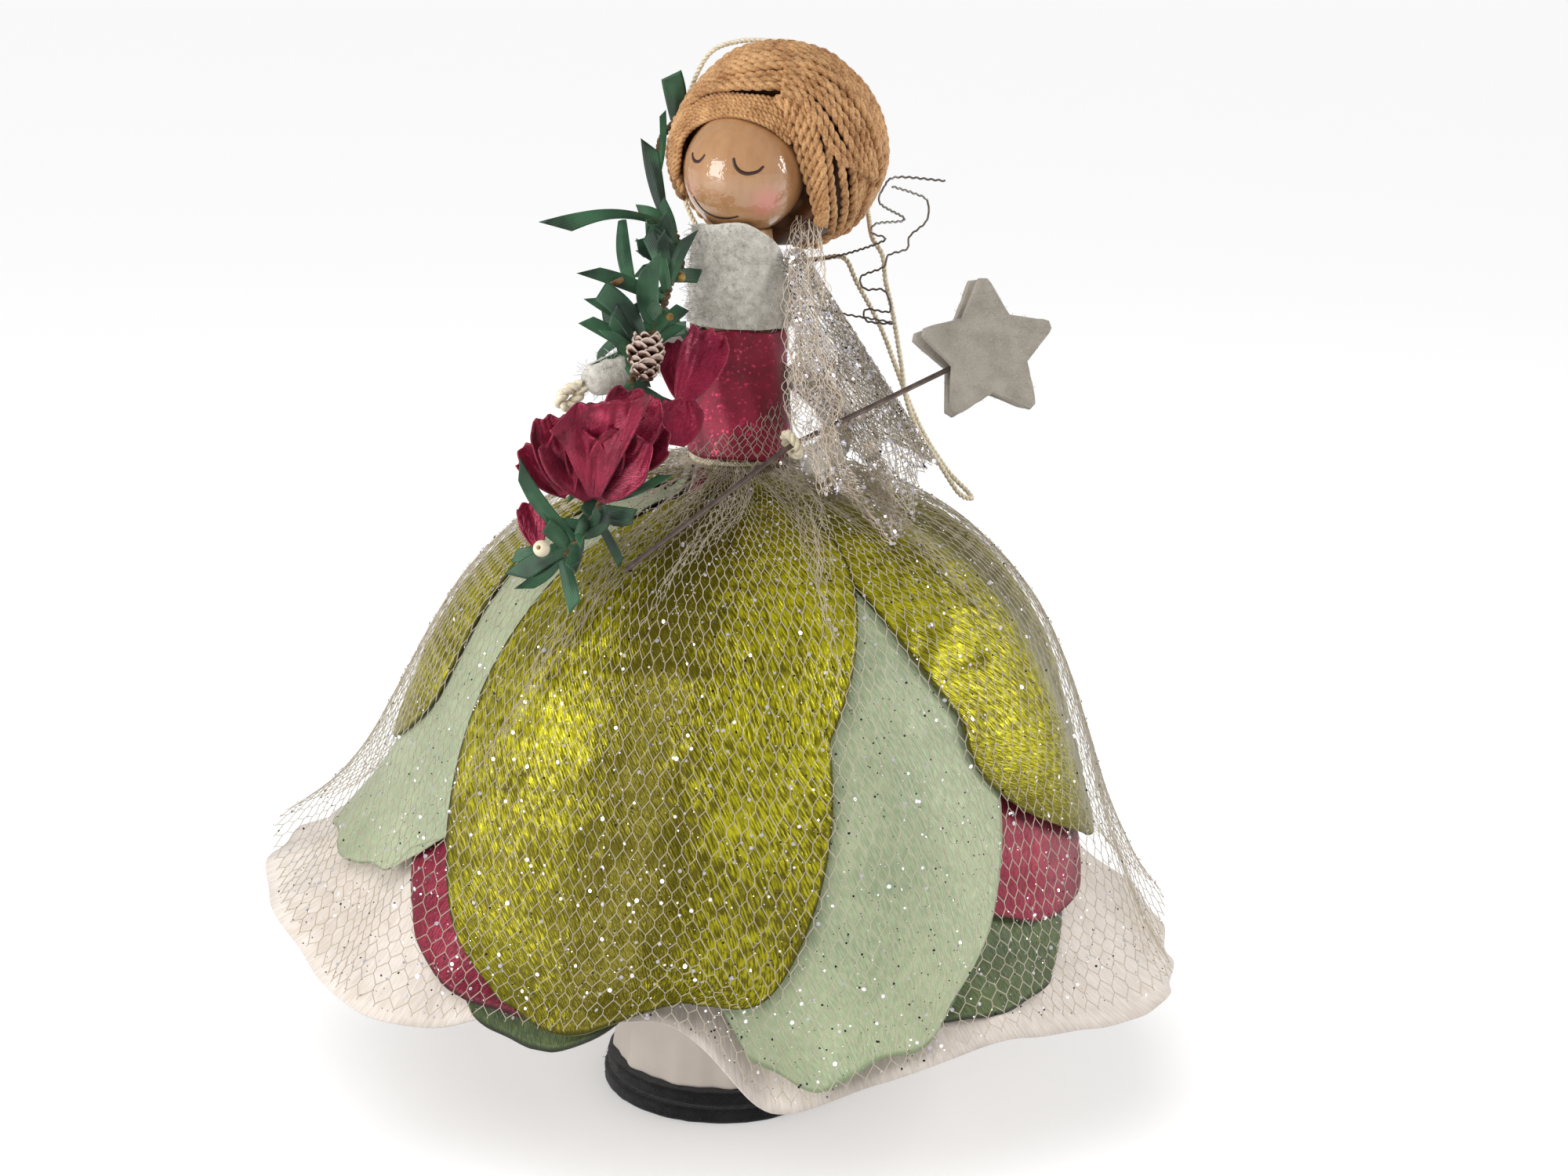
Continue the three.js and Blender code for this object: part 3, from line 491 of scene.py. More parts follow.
def bell(angle, share, out):
    """A place on the skirt: an angle round it, a share of the way down, and so far off the lining."""
    s = min(1, max(0, share))
    middle = on_line(bell_line, s)
    along = (on_line(bell_line, min(1, s + 0.01)) - on_line(bell_line, max(0, s - 0.01))).normalized()
    hem = on_line(hem_line, angle / 360 % 1, closed=True)
    weight = s**3
    lean = 3 * math.sin(math.pi * s) * math.cos(math.radians(angle - 110))
    fold = 1.2 * math.sin(math.radians(9 * angle))
    swell = out * min(1, 2 * s)
    tied = max(0, 1 - s / tied_share) ** 2
    radius = middle.x - along.y * swell + lean
    radius = radius + weight * ((hem.x - 1) * bell_radius + fold) + 0.12 * out * tied
    height = middle.y + along.x * swell + out - swell
    height = height - weight * (hem.y - 1) * bell_height + (tied_rise - out) * tied
    return polar(angle, radius, waist + height)


def cloth(surface, columns, rows, wide, long, closed=False):
    """A sheet laid on surface(u, v), with its weave's map in millimetres of cloth."""
    bm = bmesh.new()
    weave = bm.loops.layers.uv.new("weave")
    bmesh.ops.create_grid(bm, x_segments=columns, y_segments=rows, size=0.5)
    for face in bm.faces:
        for loop in face.loops:
            loop[weave].uv = ((loop.vert.co.x + 0.5) * wide, (loop.vert.co.y + 0.5) * long)
    for vert in bm.verts:
        vert.co = surface(vert.co.x + 0.5, vert.co.y + 0.5) * MM
    if closed:
        bmesh.ops.remove_doubles(bm, verts=bm.verts, dist=1e-7)
    bmesh.ops.recalc_face_normals(bm, faces=bm.faces)
    return bm


def thicken(thing, thickness, rim=0):
    """Gives a sheet its thickness, half to each side, with a rim of that material slot."""
    made = thing.modifiers.new("thickness", "SOLIDIFY")
    made.thickness = thickness * MM
    made.offset = 0
    made.material_offset_rim = rim
    return thing


def hang(name, bm, finishes, slot, stands_for, thickness):
    """A piece of cloth with its thickness. A second finish is that of its cut edge."""
    area = sum(face.calc_area() for face in bm.faces)
    thing = thicken(piece(name, bm, finishes, slot, stands_for), thickness, len(finishes) - 1)
    return thing


petal_map = (62, 92)  # a petal's width and length in its weave's map, in millimetres


def woven_finish(
    name, light, shade, thread, turn, depth, sockets, patch_mm=14, slub=0.35, creases=(9, 1.2), edge=None,
    band=None,
):
    """Woven cloth: fine lines of thread at a slant, with slow changes of tone. A band is painted
    shade: a darker strip down a petal's middle valley, and a darkening over its lower part. An edge
    is a darker line round a petal's outline, partly the colour of its heat-cut rim and partly painted
    shade where the petals lie on one another."""
    made, tree, place = new_finish(name)
    laid = add(tree, "UVMap", uv_map="weave")
    slanted = add(tree, "Mapping", {"Vector": laid.outputs[0], "Rotation": (0, 0, math.radians(turn))})
    lines = add(
        tree,
        "TexWave",
        {
            "Vector": slanted.outputs[0], "Scale": 0.314 / thread, "Distortion": 1.2, "Detail": 2.0,
            "Detail Scale": 2.0,
        },
    )
    drawn_out = add(
        tree,
        "Mapping",
        {
            "Vector": laid.outputs[0], "Rotation": (0, 0, -math.radians(turn)),
            "Scale": (0.9 * thread, 4 * thread, 1),
        },
        vector_type="TEXTURE",
    )
    dashes = add(tree, "TexNoise", {"Vector": drawn_out.outputs[0], "Scale": 1.0, "Detail": 2.0})
    floats = add(tree, "MapRange", {"Value": dashes.outputs[0], "From Min": 0.36, "From Max": 0.64})
    patch = add(tree, "TexNoise", {"Vector": place, "Scale": 1 / (patch_mm * MM), "Detail": 4.0})
    weave = add(tree, "Mix", {"Factor": 0.75, 2: lines.outputs["Fac"], 3: floats.outputs[0]})
    mixed = add(tree, "Mix", {"Factor": slub, 2: patch.outputs[0], 3: weave.outputs[0]})
    tone = add(tree, "MapRange", {"Value": mixed.outputs[0], "From Min": 0.3, "From Max": 0.7})
    if band or edge:
        side, down, _ = add(tree, "SeparateXYZ", {0: laid.outputs[0]}).outputs
    # The band is painted shade: it darkens the tone down the petal's middle valley and over its lower part.
    if band:
        middle, reach, strength = band
        far = add(tree, "Math", {0: side, 1: middle}, operation="SUBTRACT")
        far = add(tree, "Math", {0: far.outputs[0]}, operation="ABSOLUTE")
        shadows = (
            {"Value": far.outputs[0], "From Max": reach, "To Min": strength, "To Max": 0.0},
            {"Value": down, "From Min": 50.0, "From Max": 85.0, "To Max": 0.4},
        )
        for shadow in shadows:
            dark = add(tree, "MapRange", shadow, interpolation_type="SMOOTHSTEP").outputs[0]
            tone = add(tree, "Math", {0: tone.outputs[0], 1: dark}, operation="SUBTRACT", use_clamp=True)
    colour = two_tones(tree, tone.outputs[0], shade, light)
    # The edge: darker near the outline, partly the heat-cut rim's colour and partly painted shade where
    # petals overlap.
    if edge:
        wide, long = petal_map
        least = side
        for last, place_on in ((wide, side), (long, down)):
            left = add(tree, "Math", {0: float(last), 1: place_on}, operation="SUBTRACT")
            least = add(tree, "Math", {0: least, 1: left.outputs[0]}, operation="MINIMUM").outputs[0]
        rim = add(
            tree,
            "MapRange",
            {"Value": least, "From Min": 0.25, "From Max": 0.7, "To Min": 0.85, "To Max": 0.0},
        )
        colour = two_tones(tree, rim.outputs[0], colour, edge)
    folds = add(tree, "TexNoise", {"Vector": place, "Scale": 1 / (creases[0] * MM), "Detail": 1.0})
    bent = add(tree, "Bump", {"Height": folds.outputs[0], "Strength": 1.0, "Distance": creases[1] * MM})
    bump = add(
        tree,
        "Bump",
        {"Height": weave.outputs[0], "Strength": depth, "Distance": 0.12 * MM, "Normal": bent.outputs[0]},
    )
    surfaced(tree, {"Base Color": colour, "Normal": bump.outputs[0], **sockets})
    return made


cream_voile = woven_finish(
    "cream_cotton_voile", "#e9dfd6", "#d3c6ba", 0.6, 8, 0.3,
    {"Roughness": 0.85, "Specular IOR Level": 0.25, "Sheen Weight": 0.3},
)


def hem_rise(angle):
    """How far the hems are drawn up over the foot at the front, as a share."""
    return math.exp(-((((angle + 4 + 180) % 360 - 180) / 15) ** 2))


def petticoat_surface(u, v):
    """The bell with fine flutes, lifted over the foot and flared at its hem."""
    angle = 360 * u
    flute = 0.5 * v * v * math.sin(math.radians(31 * angle) + 2 * math.sin(math.radians(4 * angle)))
    place = bell(angle, v * (1 - 0.065 * hem_rise(angle)), flute)
    spread = 6 * v**14 * math.sin(math.radians(angle - 20)) ** 4
    return place + polar(angle, spread, 0)


hang(
    "petticoat_voile", cloth(petticoat_surface, 360, 60, 390, 96, closed=True), [cream_voile],
    "cream_voile", "petticoat", 0.35,
)

# Petals: sixteen of heat-cut satin in four layers, olive, crimson, mint and chartreuse, each tied
# in at the waist by its narrow end. A darker line runs round their edges, partly the sealed cut
# edge and partly painted shade where the petals lie on one another.
outline_shares = [0.34, 0.5, 0.66, 0.8, 0.91, 0.98, 1, 0.97, 0.87, 0.7, 0.42]
outline = through([(0, share, 0) for share in outline_shares], 8)
layer_pitch = 1.35


def lay_petal(angle, half, tip, layer, bulge, relief, lobes, tilt=0.0, spread=(0, 0), drop=0.0):
    """A petal round its angle. It can spread to a side above its middle, under the waist thread."""
    straight = 0.6  # the share of its length that isn't stretched to its tip

    def surface(u, v):
        s = 2 * u - 1
        wide = on_line(outline, v).y + spread[s > 0] * min(1, 2.2 * max(0, 0.57 - v))
        foot = tip + tilt * s - 0.035 * s * s + 0.008 * lobes * math.sin(7 * s + layer) * abs(s) ** 0.5
        past = max(0, v - straight) / (1 - straight)
        t = min(v, straight) + past * (foot - straight)
        swell = bulge * math.sin(math.pi * (s - 0.05)) ** 2 * math.sin(math.pi * v)
        soft = noise.noise(Vector((2.2 * s, 3.1 * v, 7 * layer + angle)))
        ripple = noise.noise(Vector((5 * s, 9 * v, 3 * layer - angle)))
        lift = relief * (soft * math.sin(math.pi * min(1, v * 1.15)) + 0.35 * ripple * v)
        edge = 1 + 0.012 * math.sin(11 * v + 2 * s + angle)
        return bell(angle + s * half * wide * edge, t, layer * layer_pitch + drop + swell + lift)

    return cloth(surface, 64, 88, *petal_map)


# The colours of the petals' cut edges, darker partly as painted shade where the petals overlap.
satin_edge = {
    colour: woven_finish(colour + "_satin_edge_and_shade", edge, edge, 0.5, 45, 0.1, {"Roughness": 0.6})
    for colour, edge in {
        "olive": "#1c2414", "crimson": "#4a0c1c", "mint": "#6f7f62", "chartreuse": "#5a560c",
    }.items()
}
satins = {
    "olive": woven_finish(
        "olive_satin", "#56672f", "#28361a", 0.4, 38, 0.5,
        {"Roughness": 0.45, "Metallic": 0.25, "Sheen Weight": 0.1}, edge="#151c0e",
    ),
    "crimson": woven_finish(
        "crimson_satin", "#9c1b3c", "#560c20", 0.4, -38, 0.6,
        {"Roughness": 0.4, "Metallic": 0.35, "Sheen Weight": 0.05}, edge="#3a0814",
    ),
    "mint": woven_finish(
        "mint_satin", "#bdc7a2", "#95a382", 0.4, 30, 0.5,
        {"Roughness": 0.48, "Metallic": 0.1, "Sheen Weight": 0.2}, edge="#8a9a72",
    ),
    # The chartreuse band is painted shade down each petal's middle valley and over its lower part.
    "chartreuse": woven_finish(
        "chartreuse_lame_satin", "#cdc71a", "#665e04", 0.4, 38, 1.0,
        {"Roughness": 0.34, "Metallic": 0.6}, 11, 0.5, (7, 1.6), "#3f3b06",
        (34, 15, 0.8),
    ),
}
petal_rows = {
    # satin, slot, layer, half width in degrees, bulge, relief, lobes; then each petal's angle and tip,
    # and where it has them its tilt, its spread to each side and how far it lies under its neighbour
    "olive_petal": (
        "olive", "olive_satin", 1, 29, 0, 0.2, 0.4,
        [(-6, 1.0), (64, 0.97), (176, 0.93), (262, 0.93)],
    ),
    "red_petal": (
        "crimson", "red_satin", 2, 32, 0, 0.25, 0.4,
        [(-20, 0.95, 0.042), (79, 0.85), (162, 0.885), (250, 0.885)],
    ),
    "mint_petal": (
        "mint", "mint_satin", 3, 34, 0, 0.3, 1.5,
        [(40, 0.985), (139, 0.9), (228, 0.9), (305, 0.89, -0.05)],
    ),
    "lime_petal": (
        "chartreuse", "lime_satin", 4, 37, 2.0, 0.7, 0.4,
        [
            (3, 0.985, 0, (0, 1)), (104, 0.785, 0, (1.1, 1), -0.5), (187, 0.86, 0, (1, 1), -0.9),
            (270, 0.8, 0, (1, 0), -0.5),
        ],
    ),
}
for row_name, (colour, slot, layer, half, bulge, relief, lobes, petals) in petal_rows.items():
    for i, (angle, tip, *lie) in enumerate(petals, 1):
        node_name = f"{row_name}_{i}"
        bm = lay_petal(angle, half, tip, layer, bulge, relief, lobes, *lie)
        hang(
            node_name + "_satin", bm, [satins[colour], satin_edge[colour]], slot, node_name, 0.32,
        )

# Overskirt: cream hexagonal net, wrapped once round and gathered under the waist thread, with
# glitter glued all over it. Bright flakes catch the light, and others are a darkened copy of the
# glitter, as painted shade for flakes turned from the light.
nylon_net, tree, place = new_finish("cream_nylon_net")
patch = add(tree, "TexNoise", {"Vector": place, "Scale": 1 / (3 * MM), "Detail": 2.0})
shader = add(
    tree,
    "BsdfPrincipled",
    {
        "Base Color": two_tones(tree, patch.outputs[0], "#b5a78f", "#ddd2be"),
        "Roughness": 0.4,
        "Specular IOR Level": 0.5,
        "Sheen Weight": 0.3,
    },
)
clear = add(tree, "BsdfTransparent")
thin = add(tree, "MixShader", {0: 0.4, 1: shader.outputs[0], 2: clear.outputs[0]})
add(tree, "OutputMaterial", {"Surface": thin.outputs[0]})


def net_lines(surface, columns, rows, closed=True, inside=lambda u, v: True):
    """Lines of a hexagonal net on surface(u, v): one thread of each pair runs through, and the
    other joins it between the short links where both are twisted together."""
    link = 0.2  # half a link's length, in cells
    through_lines, joining = [], []

    def knot(column, row, down):
        """Where two threads part, above a link or below it."""
        u = column / columns
        v = (row + down * link) / rows
        return (u % 1 if closed else u), min(1, max(0, v))

    for first in range(columns if closed else 2 * columns):
        line = []
        for row in range(rows + 1):
            column = first + row / 2 - (0 if closed else columns / 2)
            if not closed and not 0 <= column <= columns:
                continue
            for down in (-1, 1):
                u, v = knot(column, row, down)
                if inside(u, v):
                    line.append(surface(u, v))
                    continue
                if len(line) > 1:
                    through_lines.append(line)
                line = []
            if row < rows and (closed or column - 0.5 >= 0):
                a, b = knot(column, row, 1), knot(column - 0.5, row + 1, -1)
                if inside(*a) and inside(*b):
                    joining.append([surface(*a), surface(*b)])
        if len(line) > 1:
            through_lines.append(line)
    return through_lines + joining


def overskirt_surface(u, v):
    """Off the petals, gathered below the waist, fluted at the hem, where it hangs 1.2 mm closer."""
    angle = 360 * u
    s = min(1, max(0, (v - 0.86) / 0.14))
    closer = 1.2 * (s * s * (3 - 2 * s))
    waves = math.sin(math.radians(26 * angle) + 3 * math.sin(math.radians(3 * angle)))
    gather = math.exp(-((v - 0.2) ** 2) / 0.02) * 0.7 * waves
    flute = 1.1 * v**4 * math.sin(math.radians(17 * angle) + 2 * math.sin(math.radians(2 * angle)))
    return bell(angle, v * (1 - 0.02 * hem_rise(angle)), 7.9 - closer + gather + flute)


overskirt_net = round_bars(net_lines(overskirt_surface, 158, 48), 0.075, 0, caps=False)
tulle_overskirt = piece("tulle_overskirt_net", overskirt_net, nylon_net, "tulle", "tulle_overskirt")


def plain_finish(name, colour, roughness, metallic=0.0):
    """One even coat, as of brush paint, bare thin wire or metal-coated film."""
    made, tree, _ = new_finish(name)
    surfaced(tree, {"Base Color": linear(colour), "Metallic": metallic, "Roughness": roughness})
    return made


bright_glitter = plain_finish("pearl_glitter_film", "#fbf6ff", 0.18, 0.75)
# A darkened copy of the glitter: painted shade for flakes that face away from the light.
shaded_glitter = plain_finish("shaded_glitter_film", "#2b2a33", 0.25, 0.8)


def flakes(surface, count, sizes, seed, rows=(0, 1)):
    """Six-sided glitter flakes scattered on surface(u, v), each tilted its own way."""
    lift, near = 0.25, 0.004
    random.seed(seed)
    bm = bmesh.new()
    for _ in range(count):
        u, v = random.random(), random.uniform(*rows) ** 0.7
        width = sizes[0] + (sizes[1] - sizes[0]) * random.random() ** 4
        tilt = [random.uniform(-0.5, 0.5) for _ in range(3)]
        place = surface(u, v)
        across = surface(u + near / 2, v) - place
        down = surface(u, min(1, v + near)) - surface(u, v - near)
        out = across.cross(-down)
        out = (out.normalized() if out.length else Vector((0, 0, 1))) + Vector(tilt)
        seat = Matrix.Translation((place + out.normalized() * lift) * MM)
        seat = seat @ out.to_track_quat("Z", "Y").to_matrix().to_4x4()
        bmesh.ops.create_circle(bm, cap_ends=True, segments=6, radius=width / 2 * MM, matrix=seat)
    return bm


overskirt_glitter = {  # count, smallest and largest flake, seed, finish and rows
    "overskirt_bright_glitter": (6400, (0.14, 0.7), 21, bright_glitter, (0, 1)),
    "overskirt_shaded_glitter": (5600, (0.18, 0.45), 22, shaded_glitter, (0, 1)),
    "waist_glitter": (1500, (0.14, 0.5), 23, bright_glitter, (0.02, 0.3)),
}
for name, (count, sizes, seed, finish, rows) in overskirt_glitter.items():
    piece(name, flakes(overskirt_surface, count, sizes, seed, rows), finish, "tulle")

# Waist: four turns of cream thread tie the gathered skirt to the peg.
def winding(radius, height, turns, pitch):
    """A helix of thread round the peg."""
    steps = 48
    line = []
    for i in range(turns * steps + 1):
        a = math.tau * i / steps
        rise = pitch * (i / steps - turns / 2)
        line.append(Vector((radius * math.sin(a), -radius * math.cos(a), height + rise)))
    return line


piece(
    "waist_thread", round_bars(twisted(winding(6.8, 102.35, 4, 0.3), 2, 0.11, 1.1), 0.13, 0), cream_cotton,
    "cream_cord", "waist_tie",
)

# Bodice: a strip of crimson shimmer fabric wrapped round the peg, with foil specks that are more
# metallic and smoother, and drawn a lighter pink as painted glints. It is pulled tight, so it has
# shallow slanting creases, and its end laps over itself.
crimson_shimmer, tree, place = new_finish("crimson_foil_fabric")
grit = add(tree, "TexVoronoi", {"Vector": place, "Scale": 1 / (0.38 * MM), "Randomness": 1.0})
split = add(tree, "SeparateColor", {0: grit.outputs["Color"]})
# Foil specks: more metallic and smoother, and lighter pink as painted glints.
foil_and_glint = add(tree, "MapRange", {"Value": split.outputs[0], "From Min": 0.86, "From Max": 1.0})
patch = add(tree, "TexNoise", {"Vector": place, "Scale": 1 / (5 * MM), "Detail": 4.0})
cloth_tone = two_tones(tree, patch.outputs[0], "#6d0c26", "#9c173a", 0.32, 0.68)
dull = add(tree, "MapRange", {"Value": foil_and_glint.outputs[0], "To Min": 0.48, "To Max": 0.3})
metal = add(tree, "MapRange", {"Value": foil_and_glint.outputs[0], "To Min": 0.3, "To Max": 0.7})
threads = add(tree, "TexNoise", {"Vector": place, "Scale": 1 / (0.45 * MM), "Detail": 3.0})
bump = add(tree, "Bump", {"Height": threads.outputs[0], "Strength": 0.6, "Distance": 0.12 * MM})
surfaced(
    tree,
    {
        "Base Color": two_tones(tree, foil_and_glint.outputs[0], cloth_tone, "#c83a62"),
        "Roughness": dull.outputs[0],
        "Metallic": metal.outputs[0],
        "Sheen Weight": 0.2,
        "Normal": bump.outputs[0],
    },
)


def bodice_surface(u, v):
    """Creased round the peg, with a lap at its end, and loose at its lower edge on the left."""
    angle = 370 * u - 175
    a = math.radians(angle)
    crease = 0.16 * math.sin(5 * a + 6 * v) * math.sin(math.pi * v) + 0.1 * math.sin(9 * a - 9 * v)
    lap = 0.45 * max(0, (u - 0.93) / 0.07)
    loose = 1.4 * v * max(0, math.cos(a - 1.3))
    radius = 6.72 + crease + lap + loose + 0.35 * math.cos(math.pi * v) ** 6
    return polar(angle, radius, 122.6 - 19.3 * v + 0.25 * math.sin(4 * a))


hang(
    "bodice_wrap", cloth(bodice_surface, 160, 40, 46, 20), [crimson_shimmer], "red_satin", "bodice", 0.6,
)

# Collar: a band of light grey felt round the neck of the peg, higher at the back, fuzzy all over.
grey_felt = felt_finish("light_grey_wool_felt", "#dfdbd1", "#aaa59b", 1.3, 0.47)
collar_heights = (138.4, 138.2, 136.2, 131.6, 131, 132.6, 134.6, 135.6, 136, 136.4, 137.2, 138)
collar_tops = through([(0, height, 0) for height in collar_heights], 10, closed=True)


def collar_surface(u, v):
    """From the collar's top edge down to the bodice, a little wavy."""
    angle = 360 * u
    top = on_line(collar_tops, angle / 360, closed=True).y
    a = math.radians(angle)
    radius = 7.0 + 0.12 * math.sin(3 * a + 4 * v) + 0.18 * v**3
    return polar(angle, radius, top + (122.9 - top) * v + 0.2 * math.sin(5 * a) * (1 - v))


bm = roughen(cloth(collar_surface, 150, 44, 46, 15, closed=True), 0.16, 1.3, 3)
nap = loose_fibres(bm, 2600, 1.1, 12)
collar_felt = hang(
    "collar_felt", bm, [grey_felt], "grey_felt", "collar", 1.15
)
rounded = collar_felt.modifiers.new("soft_edges", "BEVEL")
rounded.width = 0.3 * MM
rounded.segments = 3
rounded.limit_method = "ANGLE"
nap = [[p + Vector((p.x, p.y, 0)).normalized() * 0.5 for p in line] for line in nap]
piece("collar_nap", round_bars(nap, 0.032, 0), grey_felt, "grey_felt")

# Head: an 18 mm beech bead under clear varnish, with its face painted on. The varnish gathered in
# small ripples, which break up the soft boxes' reflections.
head_centre = Vector((0, 0, 145.3))
bead_radius = 9
toward = (camera.matrix_world.translation / MM - head_centre).normalized()
camera_right = camera.matrix_world.col[0].xyz
seen_right = (camera_right - toward * toward.dot(camera_right)).normalized()
seen_up = toward.cross(seen_right)


def facing(x, y, depth):
    """A direction as the photograph shows it: right, up and towards the camera."""
    return seen_right * x + seen_up * y + toward * depth


def seen(x, y, depth):
    """A place as the photograph shows it, in bead radii from the bead's middle."""
    return head_centre + facing(x, y, depth) * bead_radius


def on_bead(x, y):
    """A place on the bead, x to the right and y up from its middle, in bead radii."""
    return seen(x, y, math.sqrt(max(0, 1 - x * x - y * y)))


varnished_beech, tree, place = new_finish("varnished_beech_bead")
stretched = add(tree, "Mapping", {"Vector": place, "Scale": (1, 1, 0.15)})
grain = add(tree, "TexNoise", {"Vector": stretched.outputs[0], "Scale": 1 / (1.3 * MM), "Detail": 3.0})
base_tone = two_tones(tree, grain.outputs[0], "#ae7f54", "#b98b5f", 0.3, 0.7)
blushes = {  # place on the bead, radius in millimetres, strength
    "left_cheek": ((0.36, -0.50), 3.9, 0.8),
    "right_cheek": ((-0.86, -0.28), 2.4, 0.4),
}
for spot, radius, strength in blushes.values():
    far = add(tree, "VectorMath", {0: place, 1: on_bead(*spot) * MM}, operation="DISTANCE")
    fade = add(
        tree,
        "MapRange",
        {"Value": far.outputs["Value"], "From Max": radius * MM, "To Min": strength, "To Max": 0.0},
        interpolation_type="SMOOTHSTEP",
    )
    base_tone = two_tones(tree, fade.outputs[0], base_tone, "#d67d6f")
ripple = add(tree, "TexNoise", {"Vector": place, "Scale": 1 / (1.1 * MM), "Detail": 2.0})
coat_bump = add(tree, "Bump", {"Height": ripple.outputs[0], "Strength": 0.45, "Distance": 0.25 * MM})
surfaced(
    tree,
    {
        "Base Color": base_tone,
        "Roughness": 0.5,
        "Specular IOR Level": 0.4,
        "Coat Weight": 1.0,
        "Coat Roughness": 0.07,
        "Coat IOR": 1.7,
        "Coat Normal": coat_bump.outputs[0],
    },
)
bore_radius, lowest = 2.6, -73.1  # the bead's bore, and the angle at which the bead starts beside it
bead_profile = [(bore_radius, -1.0)]
for i in range(33):
    a = math.radians(lowest + i * (90 - lowest) / 32)
    bead_profile.append((bead_radius * math.cos(a) if i < 32 else 0, bead_radius * math.sin(a)))
bm = turned([(r, z + head_centre.z) for r, z in bead_profile], 96)
piece("head_bead_varnished", bm, varnished_beech, "varnished_wood", "head_bead", "head")

face_paint = plain_finish("dark_brown_brush_paint", "#3a2018", 0.35)
strokes = {  # brush strokes as the photograph shows them, right and up from the bead's middle
    "right_eye": [
        (-0.84, 0.30), (-0.83, 0.215), (-0.79, 0.165), (-0.73, 0.165), (-0.675, 0.215), (-0.635, 0.27),
    ],
    "left_eye": [
        (-0.175, 0.215), (-0.15, 0.1), (-0.085, 0.015), (0.02, -0.03), (0.13, -0.025), (0.23, 0.01),
        (0.31, 0.085),
    ],
    "mouth": [
        (-0.83, -0.40), (-0.77, -0.5), (-0.68, -0.61), (-0.56, -0.69), (-0.42, -0.735), (-0.27, -0.745),
        (-0.10, -0.715),
    ],
}
lines = [even(through([on_bead(x, y) for x, y in stroke], 8), 0.12) for stroke in strokes.values()]
mesh = round_bars(lines, 0.27, 2, lambda share: 0.55 + 0.45 * math.sin(math.pi * min(1, 0.15 + 0.8 * share)))
for vert in mesh.vertices:  # pressed flat, so that the paint stands a quarter as proud
    out = vert.co / MM - head_centre
    vert.co = (head_centre + out.normalized() * (bead_radius + 0.02 + 0.25 * (out.length - bead_radius))) * MM
piece("face_strokes", mesh, face_paint, "varnished_wood", (), "head")

# Hair: two-ply caramel floss, 1.4 mm thick, glued to the bead strand by strand. A smooth band lies
# over the brow, a roll over the top, and the rest falls from a parting to the nape.
def floss_finish(name, light, shade, sheen=0.3):
    """Mercerised cotton: a soft gloss along each ply, and painted shade in the grooves, where the fibre grain
    that raises the relief is low.
    """
    made, tree, place = new_finish(name)
    patch = add(tree, "TexNoise", {"Vector": place, "Scale": 1 / (3.2 * MM), "Detail": 4.0})
    fibre = add(tree, "TexNoise", {"Vector": place, "Scale": 1 / (0.28 * MM), "Detail": 2.0})
    # The fibre grain darkens the colour where its relief is low: painted shade in the grooves.
    mixed = add(tree, "Mix", {"Factor": 0.5, 2: patch.outputs[0], 3: fibre.outputs[0]})
    bump = add(tree, "Bump", {"Height": fibre.outputs[0], "Strength": 0.5, "Distance": 0.08 * MM})
    surfaced(
        tree,
        {
            "Base Color": two_tones(tree, mixed.outputs[0], shade, light, 0.36, 0.64),
            "Roughness": 0.55,
            "Specular IOR Level": 0.35,
            "Sheen Weight": sheen,
            "Sheen Roughness": 0.35,
            "Normal": bump.outputs[0],
        },
    )
    return made


caramel_floss = floss_finish("caramel_two_ply_floss", "#dcae79", "#966438")
# A darker copy of the caramel floss, without sheen: painted shade for the floss beneath.
shaded_floss = floss_finish("caramel_floss_shaded_underlayer", "#5f3a1c", "#3c220e", 0.0)
# The hair is a shell of strands round a hub. Both sizes are in bead radii.
hair_middle, hair_round = Vector((0.6, 0.36, -0.81)), 1.71
hub = seen(*hair_middle)


def on_hair(x, y, depth="near"):
    """A place from the hub: on the near or the far half of the shell of hair, or at a depth."""
    if depth not in ("near", "far"):
        return facing(x - hair_middle.x, y - hair_middle.y, depth - hair_middle.z) * bead_radius
    flat = Vector((x - hair_middle.x, y - hair_middle.y))
    flat *= min(1, 0.995 * hair_round / flat.length)
    deep = math.sqrt(hair_round**2 - flat.length_squared)
    return facing(flat.x, flat.y, deep if depth == "near" else -deep) * bead_radius


def fan(guides, count, rise, seed, raised=0.0):
    """Strands spread between guide lines, which bead radii give as the photograph shows them."""
    random.seed(seed)
    guides = [[on_hair(*place) for place in guide] for guide in guides]
    strands = []
    for i in range(count):
        share = i / (count - 1) * (len(guides) - 1)
        k = min(int(share), len(guides) - 2)
        share -= k
        lift = 1 + raised + random.uniform(-0.02, 0.02)
        line = []
        for a, b in zip(guides[k], guides[k + 1]):
            loose = min(1, max(0, share + random.uniform(-0.12, 0.12) * (len(guides) - 1) / count))
            way = a.normalized().slerp(b.normalized(), loose)
            line.append(hub + way * (a.length + (b.length - a.length) * share**rise) * lift)
        strands.append(through(line, 8))
    return strands


def floss(lines, thick, pitch):
    """The two plies of each strand."""
    plies = []
    for i, line in enumerate(lines):
        plies += twisted(line, 2, thick * 0.21, pitch, i * 1.7, 8)
    return round_bars(plies, thick * 0.3, 1)


